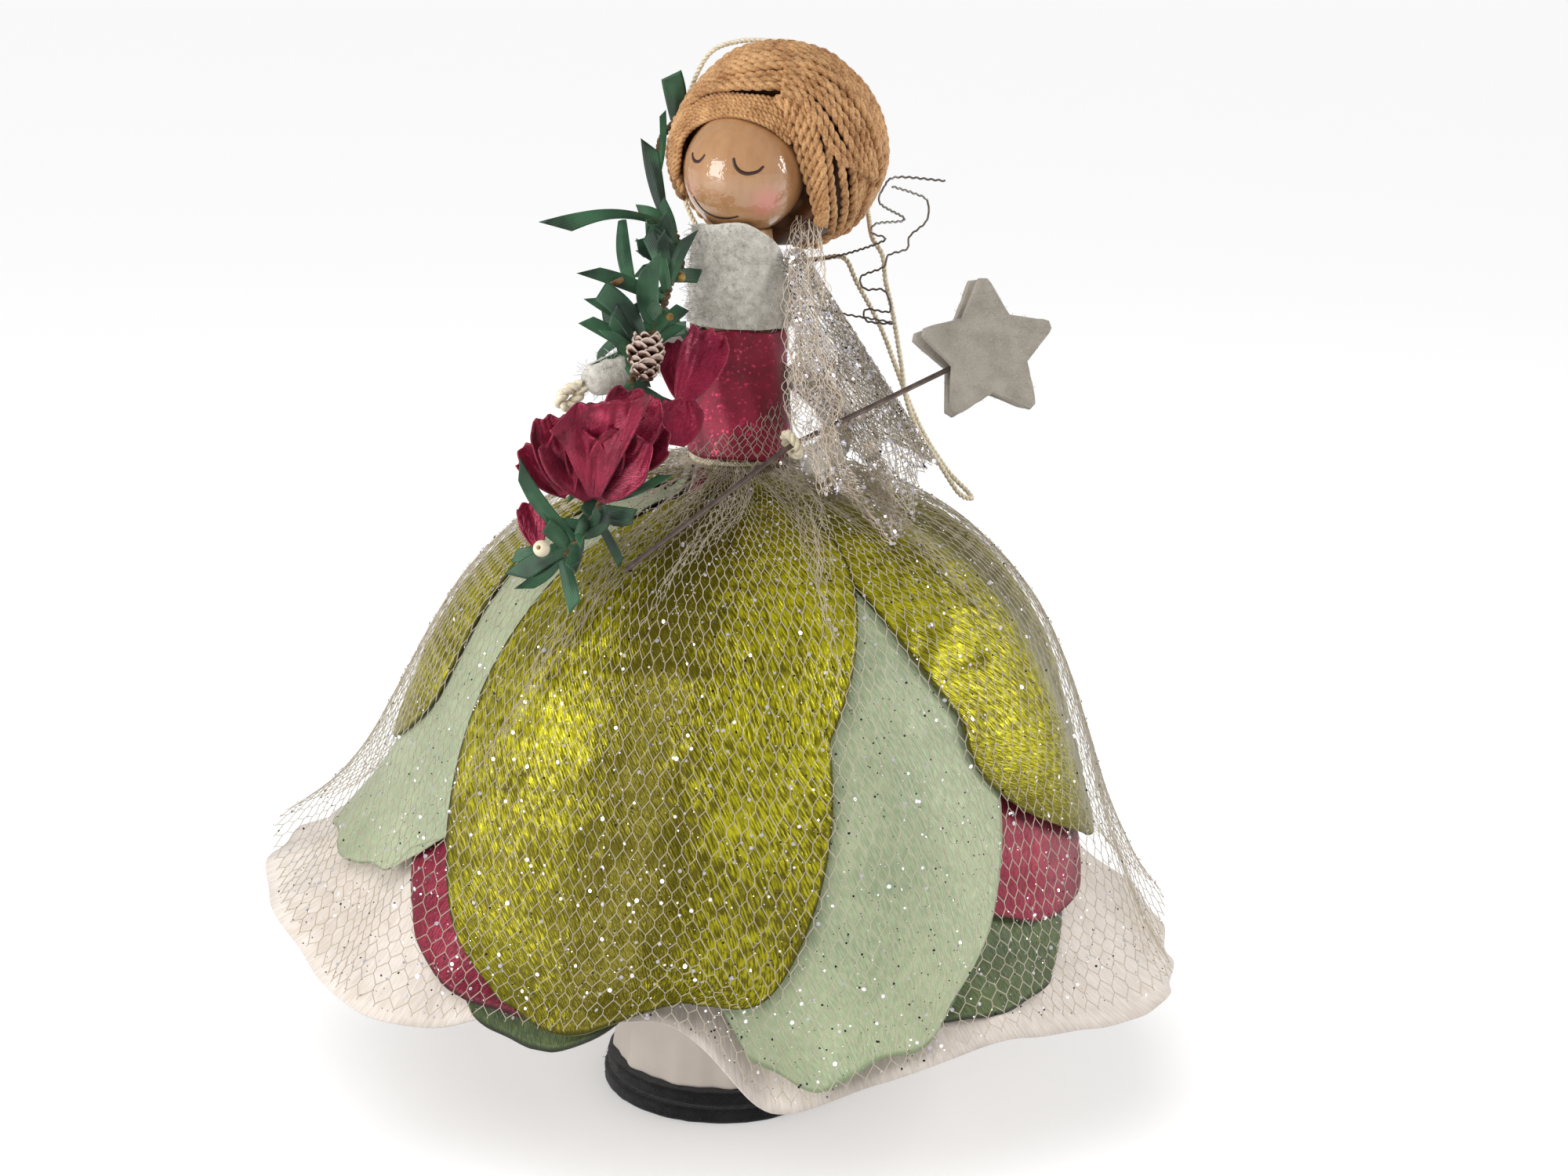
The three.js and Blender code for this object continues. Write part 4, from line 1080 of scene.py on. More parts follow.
hair_bundles = {  # node, guides, strands, rise, thickness, pitch, and a lift off the guides
    "hair_fringe_floss": (
        "hair_fringe",
        [
            [(-1.12, -0.12, -0.1), (-1.07, 0.1, 0), (-1.0, 0.5, -0.02), (-0.74, 0.77, 0.05),
             (-0.33, 0.9, 0.37), (0.08, 0.85, 0.61), (0.44, 0.7, 0.65), (0.74, 0.46, 0.58)],
            [(-1.17, -0.05, -0.35), (-1.2, 0.3, -0.35), (-1.12, 0.66, -0.25), (-0.83, 1.06, -0.22),
             (-0.4, 1.23, 0.13), (0.06, 1.2, 0.42), (0.46, 1.15, 0.5), (0.8, 1.0, 0.55)],
        ],
        7, 0.6, 0.95, 1.6,
    ),
    "hair_temple_floss": (
        "hair_lock_right",
        [
            [(-1.05, 0.8, -0.2), (-1.17, 0.35, -0.3), (-1.12, -0.08, -0.3), (-1.03, -0.33, -0.3)],
            [(-1.08, 0.9, -0.7), (-1.22, 0.35, -0.8), (-1.15, -0.1, -0.8), (-1.0, -0.45, -0.75)],
        ],
        4, 1, 1.3, 2.3,
    ),
    "hair_side_floss": (
        "hair_lock_left",
        [
            [(0.5, 1.16, 0.6), (0.66, 1.0, 0.66), (0.76, 0.72, 0.62), (0.86, 0.37, 0.56), (0.99, -0.03, 0.44),
             (1.1, -0.38, 0.32), (1.17, -0.64, 0.24), (1.2, -0.85, 0.16)],
            [(0.72, 1.25, 0.66), (0.9, 1.1), (1.07, 0.8), (1.19, 0.42), (1.26, 0.02), (1.3, -0.38),
             (1.32, -0.66), (1.3, -0.88)],
        ],
        4, 0.55, 1.4, 3.3,
    ),
    "hair_ends_floss": (
        (),
        [
            [(1.36, 0.45), (1.38, 0.05), (1.42, -0.32), (1.46, -0.62), (1.46, -0.85), (1.44, -0.98)],
            [(2.02, 0.3), (2.04, -0.1), (2.02, -0.42), (1.95, -0.72), (1.84, -0.98), (1.7, -1.14)],
        ],
        5, 1, 1.35, 3.3,
    ),
    "hair_swept_floss": (
        (),
        [
            [(0.6, 1.22), (0.85, 1.16), (1.04, 0.96), (1.2, 0.72), (1.32, 0.47), (1.46, 0.27),
             (1.64, 0.13), (1.85, 0.05)],
            [(0.66, 1.62), (1.0, 1.6), (1.38, 1.42), (1.7, 1.12), (1.93, 0.78), (2.06, 0.42),
             (2.12, 0.1), (2.1, -0.2)],
        ],
        7, 1, 1.4, 3.3, 0.05,
    ),
    "hair_crown_floss": (
        "hair_back",
        [
            [(-1.12, 0.3, -0.45), (-1.05, 0.8, -0.3), (-0.69, 1.26), (-0.26, 1.35), (0.23, 1.35),
             (0.63, 1.35), (1.03, 1.29), (1.44, 1.0), (1.75, 0.54), (1.87, 0.08), (1.84, -0.38),
             (1.7, -0.9)],
            [(-1.18, 0.2, -0.9), (-1.08, 0.75, -0.81), (-0.86, 1.25, -0.81), (-0.29, 1.82, -0.81),
             (0.14, 2.02, -0.81), (0.7, 2.07, -0.81), (1.32, 1.92, -0.81), (1.75, 1.6, -0.81),
             (2.05, 1.25, -0.81), (2.27, 0.75, -0.81), (2.31, 0.1, -0.81), (2.0, -0.6, -0.81)],
        ],
        12, 1, 1.45, 3.3,
    ),
    "hair_nape_floss": (
        (),
        [
            [(-0.98, 1.0, -0.85), (-1.12, 0.4, -0.97), (-1.01, -0.2, -1.02), (-0.62, -0.76, -1.1),
             (0.1, -1.12, -1.15)],
            [(0.45, 2.05, -0.95), (0.5, 1.5, "far"), (0.6, 0.5, "far"), (0.6, -0.5, "far"),
             (0.55, -1.1, -1.5)],
            [(1.9, 1.45, -1.0), (2.25, 0.7, -1.0), (2.25, -0.1, -1.0), (1.9, -0.75, -1.0),
             (1.2, -1.2, -1.0)],
        ],
        33, 1, 1.45, 3.3,
    ),
}
for i, (name, (node_name, guides, count, rise, thick, pitch, *lift)) in enumerate(hair_bundles.items()):
    mesh = floss(fan(guides, count, rise, i, *lift), thick, pitch)
    piece(name, mesh, caramel_floss, "floss", node_name, "head")
# The floss beneath fills the shell, and is cut back to lie behind the face. Its colour is a darker
# copy of the caramel floss, without sheen, as painted shade under the strands.
bm = bmesh.new()
bmesh.ops.create_icosphere(bm, subdivisions=5, radius=1.58)
for vert in bm.verts:
    spot = vert.co + hair_middle
    flat = math.hypot(spot.x, spot.y)
    limit = math.sqrt(1 - flat * flat) - 0.08 if flat < 0.99 else -0.1 + 1.1 * (flat - 1)
    spot.z = min(spot.z, max(limit, -1.2))
    vert.co = seen(*spot) * MM
piece("hair_underlayer", bm, shaded_floss, "floss", (), "head")

# Arms: rolls of the same grey felt, sewn shut. The right one reaches to the spray and the left one
# goes down inside the tulle sleeve. Both are soft, with a fuzzy outline.
def at(angle, share, height):
    """A place round the body: an angle, a share of 30 mm out, and a share of the way up."""
    return polar(angle, 30 * share, 93.2 + 62 * height)


def felt_roll(path, radius, seed):
    """A lumpy roll along a path, with rounded ends."""
    step = 0.3
    line = even(through(path, 12), step)
    full = len(line) * step

    def rounded(share):
        """The radius at a share of the way along, round at both ends."""
        return math.sqrt(max(0.02, 1 - (1 - min(1, min(share, 1 - share) * full / radius)) ** 2))

    bm = bmesh.new()
    bm.from_mesh(round_bars([line], radius, 4, rounded))
    return roughen(bm, 0.35, 1.5, seed)


arms = {  # radius, then the places of its middle line
    "arm_right": (
        2.55, [at(-84, 0.24, 0.42), at(-44, 0.4, 0.42), at(-23, 0.72, 0.415), at(-28.2, 0.965, 0.374)],
    ),
    "arm_left": (
        2.1, [at(112, 0.24, 0.37), at(106, 0.46, 0.285), at(80, 0.58, 0.22), at(51, 0.695, 0.2)],
    ),
}
for i, (node_name, (radius, path)) in enumerate(arms.items()):
    bm = felt_roll(path, radius, i)
    with_nap(node_name, bm, loose_fibres(bm, 700, 1.1, 31 + i), 0.032, grey_felt, "grey_felt")

# Hands: loops of cream cord. The right one is drawn to a point at the sleeve, and the left one is
# a ring round the wand.
wand_foot, hand_left, star_hold = at(-0.5, 1.34, 0.01), at(43, 0.72, 0.25), at(94, 1.1, 0.4)
elbow, wrist = arms["arm_right"][1][2:]
out = ((wrist - elbow).normalized() + Vector((0, 0, -0.45))).normalized()
rise = out.cross(Vector((0, 0, 1))).cross(out).normalized()
middle = wrist + out * 2.95
drop = [wrist + out * 0.4 + rise * 0.2]
for degrees in range(125, -126, -25):
    a = math.radians(degrees)
    drop.append(middle + out * (1.65 * math.cos(a)) + rise * math.sin(a))
drop.append(wrist + out * 0.4 - rise * 0.2)
along = (wand_foot - star_hold).normalized()
side = along.orthogonal().normalized()
other = along.cross(side)
ring = []
for degrees in range(0, 361, 15):
    a = math.radians(degrees)
    ring.append(hand_left + (side * math.cos(a) + other * math.sin(a)) * 1.7)
hands = {  # the loop, how far its plies lie apart, their pitch and radius
    "hand_right": (through(drop, 8), 0.42, 2.6, 0.5),
    "hand_left": (ring, 0.34, 2.13, 0.4),
}
for node_name, (loop, reach, pitch, radius) in hands.items():
    cord = round_bars(twisted(loop, 2, reach, pitch), radius)
    piece(node_name + "_cord", cord, cream_cotton, "cream_cord", node_name)

# Wand: one length of dark florist's wire, bent in the hand, with a felt star glued on each side of
# its end. The stars are die-cut from 1.2 mm felt and don't quite line up.
dark_wire = grained_finish(
    "dark_florist_wire", "#8a7b72", "#3c2f2b", 1.5, None, {"Metallic": 0.6, "Roughness": 0.38}, (0, 1)
)
wand_line = (star_hold - hand_left).normalized()
star_centre = star_hold + wand_line * 5.5 + Vector((0, 0, 1.1))
bend_start, bend_end = hand_left.lerp(wand_foot, 0.06), hand_left.lerp(star_hold, 0.12)
bend = []
for t in (1 / 6, 2 / 6, 3 / 6, 4 / 6, 5 / 6):
    bend.append(bend_start.lerp(hand_left, t).lerp(hand_left.lerp(bend_end, t), t))
wand_path = even([wand_foot, bend_start] + bend + [bend_end, star_centre], 0.5)
piece("wand_wire_metal", round_bars([wand_path], 0.4, 3), dark_wire, "dark_wire", "wand_wire", "wand")

star_face = polar(20, 1, 0.12)
star_face = (star_face - wand_line * star_face.dot(wand_line)).normalized()
star_side = Vector((0, 0, 1)).cross(star_face).normalized()
star_rise = star_face.cross(star_side)
star_felt = felt_finish("silver_grey_star_felt", "#a69e92", "#857e74", 3.5, 0.45)
felt_thick, star_tip, star_notch = 1.2, 10.9, 6.27
tip_angles = (-6.5, -3.2, 3.2, 6.5)  # a tip is cut blunt, at these degrees off its middle
stars = {  # how far its lower face lies off the wire, its turn, and how its left side bends out
    "star_front": (0.7, 0.0, 0.1),
    "star_back": (-1.9, 2.5, -0.35),
}
for node_name, (low, turn, splay) in stars.items():
    bm = bmesh.new()
    corners = []
    for i in range(10):
        a = math.radians(92 + turn + 36 * i)
        tip = i % 2 == 0
        for nudge in tip_angles if tip else (0,):
            b = a + math.radians(nudge)
            r = (star_tip - 0.045 * nudge * nudge / 2) if tip else star_notch
            corners.append(bm.verts.new((r * math.cos(b), r * math.sin(b), low)))
    face = bm.faces.new(corners)
    raised = bmesh.ops.extrude_face_region(bm, geom=[face])
    for vert in raised["geom"]:
        if isinstance(vert, bmesh.types.BMVert):
            vert.co.z += felt_thick
    level_edges = [e for e in bm.edges if abs(e.verts[0].co.z - e.verts[1].co.z) < 1e-6]
    bmesh.ops.bevel(bm, geom=level_edges, offset=0.25, segments=3, profile=0.6, affect="EDGES")
    bmesh.ops.triangulate(bm, faces=bm.faces)
    long_edges = [e for e in bm.edges if e.calc_length() > 1.2]
    bmesh.ops.subdivide_edges(bm, edges=long_edges, cuts=4, use_grid_fill=True)
    bmesh.ops.triangulate(bm, faces=bm.faces)
    for vert in bm.verts:
        x, y, z = vert.co
        z += splay * max(0, -x / 11) ** 2 * 2
        vert.co = (star_centre + star_side * x + star_rise * y + star_face * z) * MM
    bmesh.ops.recalc_face_normals(bm, faces=bm.faces)
    bm = roughen(ordered(bm), 0.12, 1.4, 5)
    with_nap(node_name, bm, loose_fibres(bm, 260, 0.4, 41), 0.028, star_felt, "star_felt", "wand")

# Spray: three sprigs of wired paper leaves, dyed dark green and cut square at their tips, tied
# together with small seeds and scraps of bark. Each blade is creased along its middle.
leaf_green, tree, place = new_finish("green_crepe_paper_leaf")
patch = add(tree, "TexNoise", {"Vector": place, "Scale": 1 / (7 * MM), "Detail": 3.0})
laid = add(tree, "UVMap", uv_map="weave")
ribs = add(tree, "TexWave", {"Vector": laid.outputs[0], "Scale": 1.3, "Distortion": 0.6})
bump = add(tree, "Bump", {"Height": ribs.outputs["Fac"], "Strength": 0.35, "Distance": 0.08 * MM})
surfaced(
    tree,
    {
        "Base Color": two_tones(tree, patch.outputs[0], "#0f291a", "#33603f", 0.38, 0.62),
        "Roughness": 0.48,
        "Sheen Weight": 0.1,
        "Normal": bump.outputs[0],
    },
)
stem_brown = grained_finish("brown_wrapped_stem", "#7a6242", "#3a2c1c", 0.6)
spray_facing = polar(20, 1, 0.2)
sprigs = {  # the stem's places, then each leaf: start, tip, width share and bow
    "sprig_upper": (
        [
            (-29, 0.375, 0.6), (-36, 0.37, 0.68), (-80, 0.42, 0.75), (-106.1, 0.543, 0.825),
            (-118.1, 0.652, 0.888), (-131.1, 0.74, 0.931),
        ],
        [
            (0.98, (-122.8, 0.655, 1.041), 1.2, 0.04), (0.37, (-81.1, 0.483, 0.891), 0.85, -0.02),
            (0.6, (-119.8, 0.673, 0.947), 0.35, 0.03), (0.25, (-54, 0.94, 0.71), 0.5, 0.1),
            ((-47, 0.63, 0.73), (-34, 0.66, 0.6), 0.75, 0.03), (0.2, (-51, 0.42, 0.77), 0.5, 0.03),
            (0.05, (-25, 0.48, 0.62), 0.55, 0.04),
        ],
    ),
    "sprig_middle": (
        [
            (-21, 0.5, 0.615), (-18, 0.56, 0.57), (-16, 0.66, 0.505), (-16, 0.78, 0.44), (-12, 0.97, 0.33),
            (-9, 1.08, 0.22),
        ],
        [
            (0.1, (-31, 0.58, 0.71), 0.7, 0.05), (0.14, (-33, 0.9, 0.63), 0.75, 0.03),
            (0.42, (-27, 0.89, 0.59), 1.1, 0.12), (0.3, (-19, 0.67, 0.655), 1.15, -0.08),
            (0.44, (-27, 0.98, 0.525), 0.75, 0.03), (0.28, (-7, 0.58, 0.55), 0.7, 0.03),
            (0.62, (-1, 0.77, 0.335), 0.5, 0.02),
        ],
    ),
    "sprig_lower": (
        [(-10.5, 1.105, 0.26), (-8.5, 1.25, 0.15), (-11, 1.36, 0.06), (-17, 1.4, 0)],
        [
            (0.72, (-18, 1.57, 0.23), 0.8, -0.06), (0.66, (-4, 1.36, 0.14), 0.95, 0.05),
            (0.8, (-15, 1.47, 0.1), 0.8, 0.05), (0.72, (-21, 1.5, -0.03), 0.95, 0.04),
            (0.85, (-23, 1.47, 0.01), 0.7, 0.04), (0.4, (4, 1.1, 0.21), 0.35, 0.06),
            (0.45, (0, 1.27, 0.13), 0.7, 0.03),
        ],
    ),
}
tufts = {  # small blades that fill each sprig: count, share of the stem, and reach right, up and out
    "sprig_upper": (11, (0, 0.26), (-6, -1), (-1, 6), (-2, 3)),
    "sprig_middle": (26, (0, 0.6), (-8, 3.5), (-4, 6), (-4, 4)),
    "sprig_lower": (16, (0, 0.95), (-5, 4.5), (-6, 4), (-2.5, 2)),
}
leaf_skews = (0.09, -0.12, 0.06, 0.14, -0.07, 0.1, -0.05)
full_width = 3.1  # of a blade, in millimetres


def join(bm, part):
    """Adds a piece of cloth to a mesh."""
    mesh = bpy.data.meshes.new("part")
    part.to_mesh(mesh)
    part.free()
    bm.from_mesh(mesh)
    bpy.data.meshes.remove(mesh)


def leaf(foot, heading, width, bow, number):
    """A blade creased along its middle, bowed, skewed and twisted."""
    side = heading.cross(spray_facing).normalized()
    out = side.cross(heading).normalized()
    skew = leaf_skews[number % len(leaf_skews)]

    def blade(u, v):
        rise = bow * heading.length * math.sin(math.pi * v)
        s = 2 * u - 1
        half = s / 2 * width * full_width * (0.5 + 1.2 * v - 0.85 * v * v)
        fold = 0.16 * width * full_width * (0.35 - abs(s)) * math.sin(math.pi * min(1, 0.2 + v))
        twist = 0.2 * s * width * math.sin(2.6 * v + number)
        return foot + heading * (v * (1 + skew * s * v)) + side * (half + rise) + out * (rise + fold + twist)

    return cloth(blade, 8, 20, width * full_width, heading.length)


random.seed(61)
for node_name, (stem, leaves) in sprigs.items():
    stem_line = even(through([at(*place) for place in stem], 12), 0.3)
    count, span, *reaches = tufts[node_name]
    leaves = list(leaves)
    for _ in range(count):
        reach = Vector([random.uniform(*part) for part in reaches])
        start, heading = random.uniform(*span), facing(*(reach.normalized() * (4.5 + reach.length) * 0.75))
        leaves.append((start, heading, random.uniform(0.4, 0.8), random.uniform(-0.08, 0.12)))
    blades = bmesh.new()
    for i, (start, tip, width, bow) in enumerate(leaves):
        foot = at(*start) if isinstance(start, tuple) else on_line(stem_line, start)
        heading = at(*tip) - foot if isinstance(tip, tuple) else tip
        join(blades, leaf(foot, heading, width, bow, i))
    thicken(piece(node_name + "_leaves", blades, leaf_green, "leaf_paper", node_name), 0.22)
    piece(node_name + "_stem", round_bars(twisted(stem_line, 2, 0.28, 2.2), 0.32), stem_brown, "leaf_paper")

scraps = {  # bark squares and seeds, in bead radii as the photograph shows them, and their sizes
    "bark_scraps": [((-2.06, -1.75, 1.6), (1.3, 0.9, 0.35)), ((-1.95, -2.12, 1.6), (0.95, 0.95, 0.35))],
    "seeds": [
        ((-0.97, -1.18, 0.75), (0.8, 1.1, 0.8)), ((-1.03, -1.68, 1.0), (0.75, 1.2, 0.7)),
        ((-1.48, -3.15, 2.0), (0.8, 1.3, 0.8)), ((-1.2, -2.3, 1.5), (0.6, 0.9, 0.6)),
    ],
}
scrap_finishes = {
    "bark_scraps": grained_finish("brown_bark", "#8a6032", "#4a2f14", 1.2, (0.6, 0.1)),
    "seeds": grained_finish("golden_brown_seed", "#a98a4a", "#5a421e", 0.9),
}
for name, spots in scraps.items():
    bm = bmesh.new()
    for k, (spot, radii) in enumerate(spots):
        turn = Matrix.Rotation(0.5 + k, 4, spray_facing)
        form = Matrix.Translation(seen(*spot) * MM) @ turn @ Matrix.Diagonal((*[r * MM for r in radii], 1))
        if name == "seeds":
            bmesh.ops.create_icosphere(bm, subdivisions=3, radius=1, matrix=form)
        else:
            bmesh.ops.create_cube(bm, size=1.8, matrix=form)
    if name == "bark_scraps":
        bmesh.ops.bevel(bm, geom=bm.edges[:], offset=0.12 * MM, segments=2, profile=0.5, affect="EDGES")
    piece("spray_" + name, bm, scrap_finishes[name], "brown_cone")

# Cone: a small real cone, 7 mm long, with pale painted tips on its scales.
cone_brown, tree, place = new_finish("cone_scales_with_painted_tips")
laid = add(tree, "UVMap", uv_map="weave")
split = add(tree, "SeparateXYZ", {0: laid.outputs[0]})
fine = add(tree, "TexNoise", {"Vector": place, "Scale": 1 / (0.8 * MM), "Detail": 3.0})
shifted = add(tree, "Math", {0: split.outputs[1], 1: fine.outputs[0]}, operation="ADD")
wood = two_tones(tree, fine.outputs[0], "#36211a", "#7a4f38")
surfaced(
    tree,
    {"Base Color": two_tones(tree, shifted.outputs[0], wood, "#d5bfb2", 1.1, 1.35), "Roughness": 0.7},
)
cone_middle = at(-9.5, 0.86, 0.45)
cone_turn = Matrix.Rotation(math.radians(-12), 3, "X")
scale_count, golden_angle = 46, 2.399963
cone_top, cone_length, cone_radius = 3.3, 6.4, 2.2


def cone_scale(i):
    """One of the cone's scales, counted from its top, on the spiral that real ones follow."""
    share = (i + 0.5) / scale_count
    height = cone_top - cone_length * share
    around = golden_angle * i
    wide = cone_radius * math.sqrt(max(0.05, 1 - (height / 3.7) ** 2))
    out = Vector((math.cos(around), math.sin(around), 0))
    across = Vector((-out.y, out.x, 0))
    size = (0.75 + 0.5 * math.sin(math.pi * share)) * (1 + 0.15 * math.sin(5.1 * i))

    def surface(u, v):
        s = 2 * u - 1
        half = s * 0.95 * size * (0.45 + 1.5 * v - 1.35 * v**3)
        spot = out * (wide * 0.35 + (1.9 * v - 0.5 * v * v) * size) + across * half
        spot.z = height + 0.8 * v * v * size - 0.25 * s * s
        return cone_middle + cone_turn @ spot

    return cloth(surface, 6, 6, 1, 1)


scales = bmesh.new()
for i in range(scale_count):
    join(scales, cone_scale(i))
thicken(piece("mini_cone_scales", scales, cone_brown, "brown_cone", "mini_cone"), 0.2)

# Blooms: cupped petals of crimson shimmer satin on the spray, with a bud. Their rims curl back and
# their creases catch the light.
bloom_satin = woven_finish(
    "crimson_shimmer_satin", "#aa1f47", "#610f27", 0.2, 35, 0.45,
    {"Roughness": 0.34, "Metallic": 0.4, "Sheen Weight": 0.1}, 5, 0.35,
)
bloom_petals = {  # foot, tip, width and cup in millimetres, how much the rim curls; flare and tilt
    "bloom_petal_front": ((-8.7, 1.305, 0.16), (-4.5, 1.4, 0.4), 13.3, 2.4, 1.0, 1.0, 0.17),
    "bloom_petal_left": ((-13.5, 1.36, 0.165), (-17, 1.41, 0.35), 7, 1.6, 0.9),
    "bloom_petal_back": ((-7.8, 1.2, 0.21), (-1, 1.16, 0.41), 9.8, 1.4, 0.8),
    "bloom_petal_upper": ((1, 0.75, 0.35), (8, 0.52, 0.5), 7.7, 1.1, 0.8),
    "bloom_bud": ((1.5, 0.83, 0.25), (3, 0.79, 0.36), 7, 1.6, 0.6),
    "bloom_petal_low": ((-17.5, 1.455, 0.045), (-21, 1.43, 0.14), 4.5, 0.8, 0.4),
}


def bloom_cloth(foot, heading, width, cup, curl, number, flare=0.0, tilt=0.0):
    """A petal from its foot along its heading, cupped, or funnel-shaped where it flares."""
    side = heading.cross(spray_facing).normalized()
    out = side.cross(heading).normalized()

    def bloom(u, v):
        s = 2 * u - 1
        along = v - (0.12 - 0.1 * flare) * s * s * v + tilt * s * v + 0.035 * v * v * math.sin(8 * s + number)
        cup_shape, funnel_shape = 0.3 + 1.6 * v - 1.1 * v * v, 0.12 + 0.9 * v
        half = s * 0.5 * width * (cup_shape + (funnel_shape - cup_shape) * flare)
        lift = cup * (s * s - 0.4) * math.sin(0.5 * math.pi * v)
        pleat = (abs(math.sin(2.9 * s + 1.6 * v + number)) - 0.5) * 0.11 * width * v * (1 - 0.35 * v)
        rim = curl * max(0, v - 0.72) ** 2 * 16 * (0.55 + 0.45 * math.sin(5 * s + number))
        crinkle = 0.06 * width * noise.noise(Vector((4.5 * s, 5 * v, 3 * number))) * v
        proud = lift + pleat + rim * 0.7 + crinkle
        return foot + heading * (along - 0.05 * rim) + side * half + out * proud

    return cloth(bloom, 44, 44, width, heading.length)


inner_petals = ((-0.5, -1.1), (0.55, -1.5), (0.1, -2.2))  # each one's turn, and how far back it lies
inner_left_out = {  # the inner petals that a bloom doesn't have
    "bloom_petal_upper": (0,), "bloom_bud": (0, 1, 2), "bloom_petal_low": (0, 1, 2),
}
sheet_width = 10  # a wider petal is made with hang
for number, (node_name, (foot, tip, width, cup, curl, *form)) in enumerate(bloom_petals.items()):
    foot, heading = at(*foot), at(*tip) - at(*foot)
    name = node_name + "_satin"
    bm = bloom_cloth(foot, heading, width, cup, curl, number, *form)
    if width > sheet_width:
        flat = (width, 14.5)
        hang(name, bm, [bloom_satin], "red_satin", node_name, 0.3)
    else:
        thicken(piece(name, bm, bloom_satin, "red_satin", node_name), 0.3)
    for k, (turn, back) in enumerate(inner_petals):
        if k in inner_left_out.get(node_name, ()):
            continue
        inner_foot, inner_width = foot + spray_facing * back, min(9.6, width * 0.8)
        inner_heading = Matrix.Rotation(turn, 3, spray_facing) @ heading * 0.8
        bm = bloom_cloth(inner_foot, inner_heading, inner_width, cup * 1.3, curl, number + 2.5 + k)
        thicken(piece(f"{node_name}_inner_{k + 1}", bm, bloom_satin, "red_satin"), 0.3)

# Berry: a cream wooden bead, 2.4 mm, with its hole.
berry_paint = plain_finish("cream_painted_bead", "#e9dcbf", 0.35)
berry_radius, hole_radius, half_height = 1.2, 0.35, 1.1
profile = [(hole_radius, -half_height)]
for degrees in range(-70, 71, 10):
    a = math.radians(degrees)
    profile.append((berry_radius * math.cos(a), berry_radius * math.sin(a)))
profile += [(hole_radius, half_height), (hole_radius, -half_height)]
bm = turned(profile, 32)
lie = Matrix.Translation(at(-15, 1.5, 0.05) * MM) @ Matrix.Rotation(math.radians(70), 4, "X")
bmesh.ops.transform(bm, matrix=lie, verts=bm.verts)
piece("berry_bead_painted", bm, berry_paint, "cream_cord", "berry_bead")

# Tulle sleeve: the same net, finer where it is bunched, pinned at the left shoulder and wrapped
# round the arm in four layers. Its lower end is a pointed tail of five strips, folded over and over.
sleeve_top = at(84, 0.27, 0.67)
sleeve_line = at(92, 0.66, 0.22) - sleeve_top
sleeve_down = sleeve_line.normalized()
sleeve_right = polar(110, 1, 0)
sleeve_front = sleeve_down.cross(sleeve_right).normalized()
sleeve_hem = [1.03, 1.05, 1.08, 1.1, 1.1, 1.1, 1.12, 1.2, 1.36, 1.1, 0.86, 0.8, 0.79]
sleeve_from, sleeve_turn = -80, 230  # where the cone starts and how far it goes round, in degrees
narrow_end, wide_end = 1.6, 9
sleeve_cut = 40  # the width of its net, in millimetres
grey_net = grained_finish(
    "silver_grey_nylon_net", "#ebdcc8", "#b3a38e", 3, None, {"Roughness": 0.45, "Sheen Weight": 0.3}, (0, 1),
    2.0,
)


def sleeve_surface(u, v, lift):
    """The sleeve's cone, from its pinned top down to its hem, with its folds."""
    a = math.radians(sleeve_from + sleeve_turn * u)
    last = len(sleeve_hem) - 1
    place = min(1, max(0, u)) * last
    i = min(last - 1, int(place))
    down = v * (sleeve_hem[i] + (sleeve_hem[i + 1] - sleeve_hem[i]) * (place - i))
    fold = 1 + 0.06 * v * math.sin(6 * a) + 0.05 * v * math.sin(19 * a + 2 * v)
    r = (narrow_end + (wide_end - narrow_end) * down) * fold + lift
    right, front = sleeve_right * (r * math.cos(a)), sleeve_front * (r * math.sin(a))
    return sleeve_top + sleeve_line * down + right + front


def bunched(path, width, seed):
    """The surface of a net that is bunched into a strip along a path, folded over and over."""
    line = even(through(path, 10), 0.4)

    def strip(u, v):
        """Widest at its middle, facing the camera, with its folds standing out of it."""
        ahead = (on_line(line, min(1, v + 0.04)) - on_line(line, max(0, v - 0.04))).normalized()
        side = ahead.cross(toward).normalized()
        s = 2 * u - 1
        spread = width * (0.35 + 0.65 * math.sin(math.pi * (0.12 + 0.8 * v)))
        shift = 0.25 * width * noise.noise(Vector((2 * s, 5 * v, seed)))
        deep = 0.55 * math.sin(7 * s + 5 * v + seed) + 0.4 * (1 - s * s)
        return on_line(line, v) + side * (0.5 * s * spread + shift) + toward * deep

    return strip


def gathered(path, width, columns, rows, seed):
    """Lines of the net in such a strip."""
    return net_lines(bunched(path, width, seed), columns, rows, closed=False)


def round_sleeve(u, v):
    """How far round the sleeve a thread lies, when the net isn't gathered at its top."""
    radius = narrow_end + (wide_end - narrow_end) * v
    return (u - 0.5) * sleeve_cut / radius / math.radians(sleeve_turn) + 0.5


def sleeve_net(columns, rows, lift):
    """Lines of one layer of the sleeve's net."""
    return net_lines(
        lambda u, v: sleeve_surface(round_sleeve(u, v), v, lift), columns, rows, closed=False,
        inside=lambda u, v: 0 <= round_sleeve(u, v) <= 1,
    )


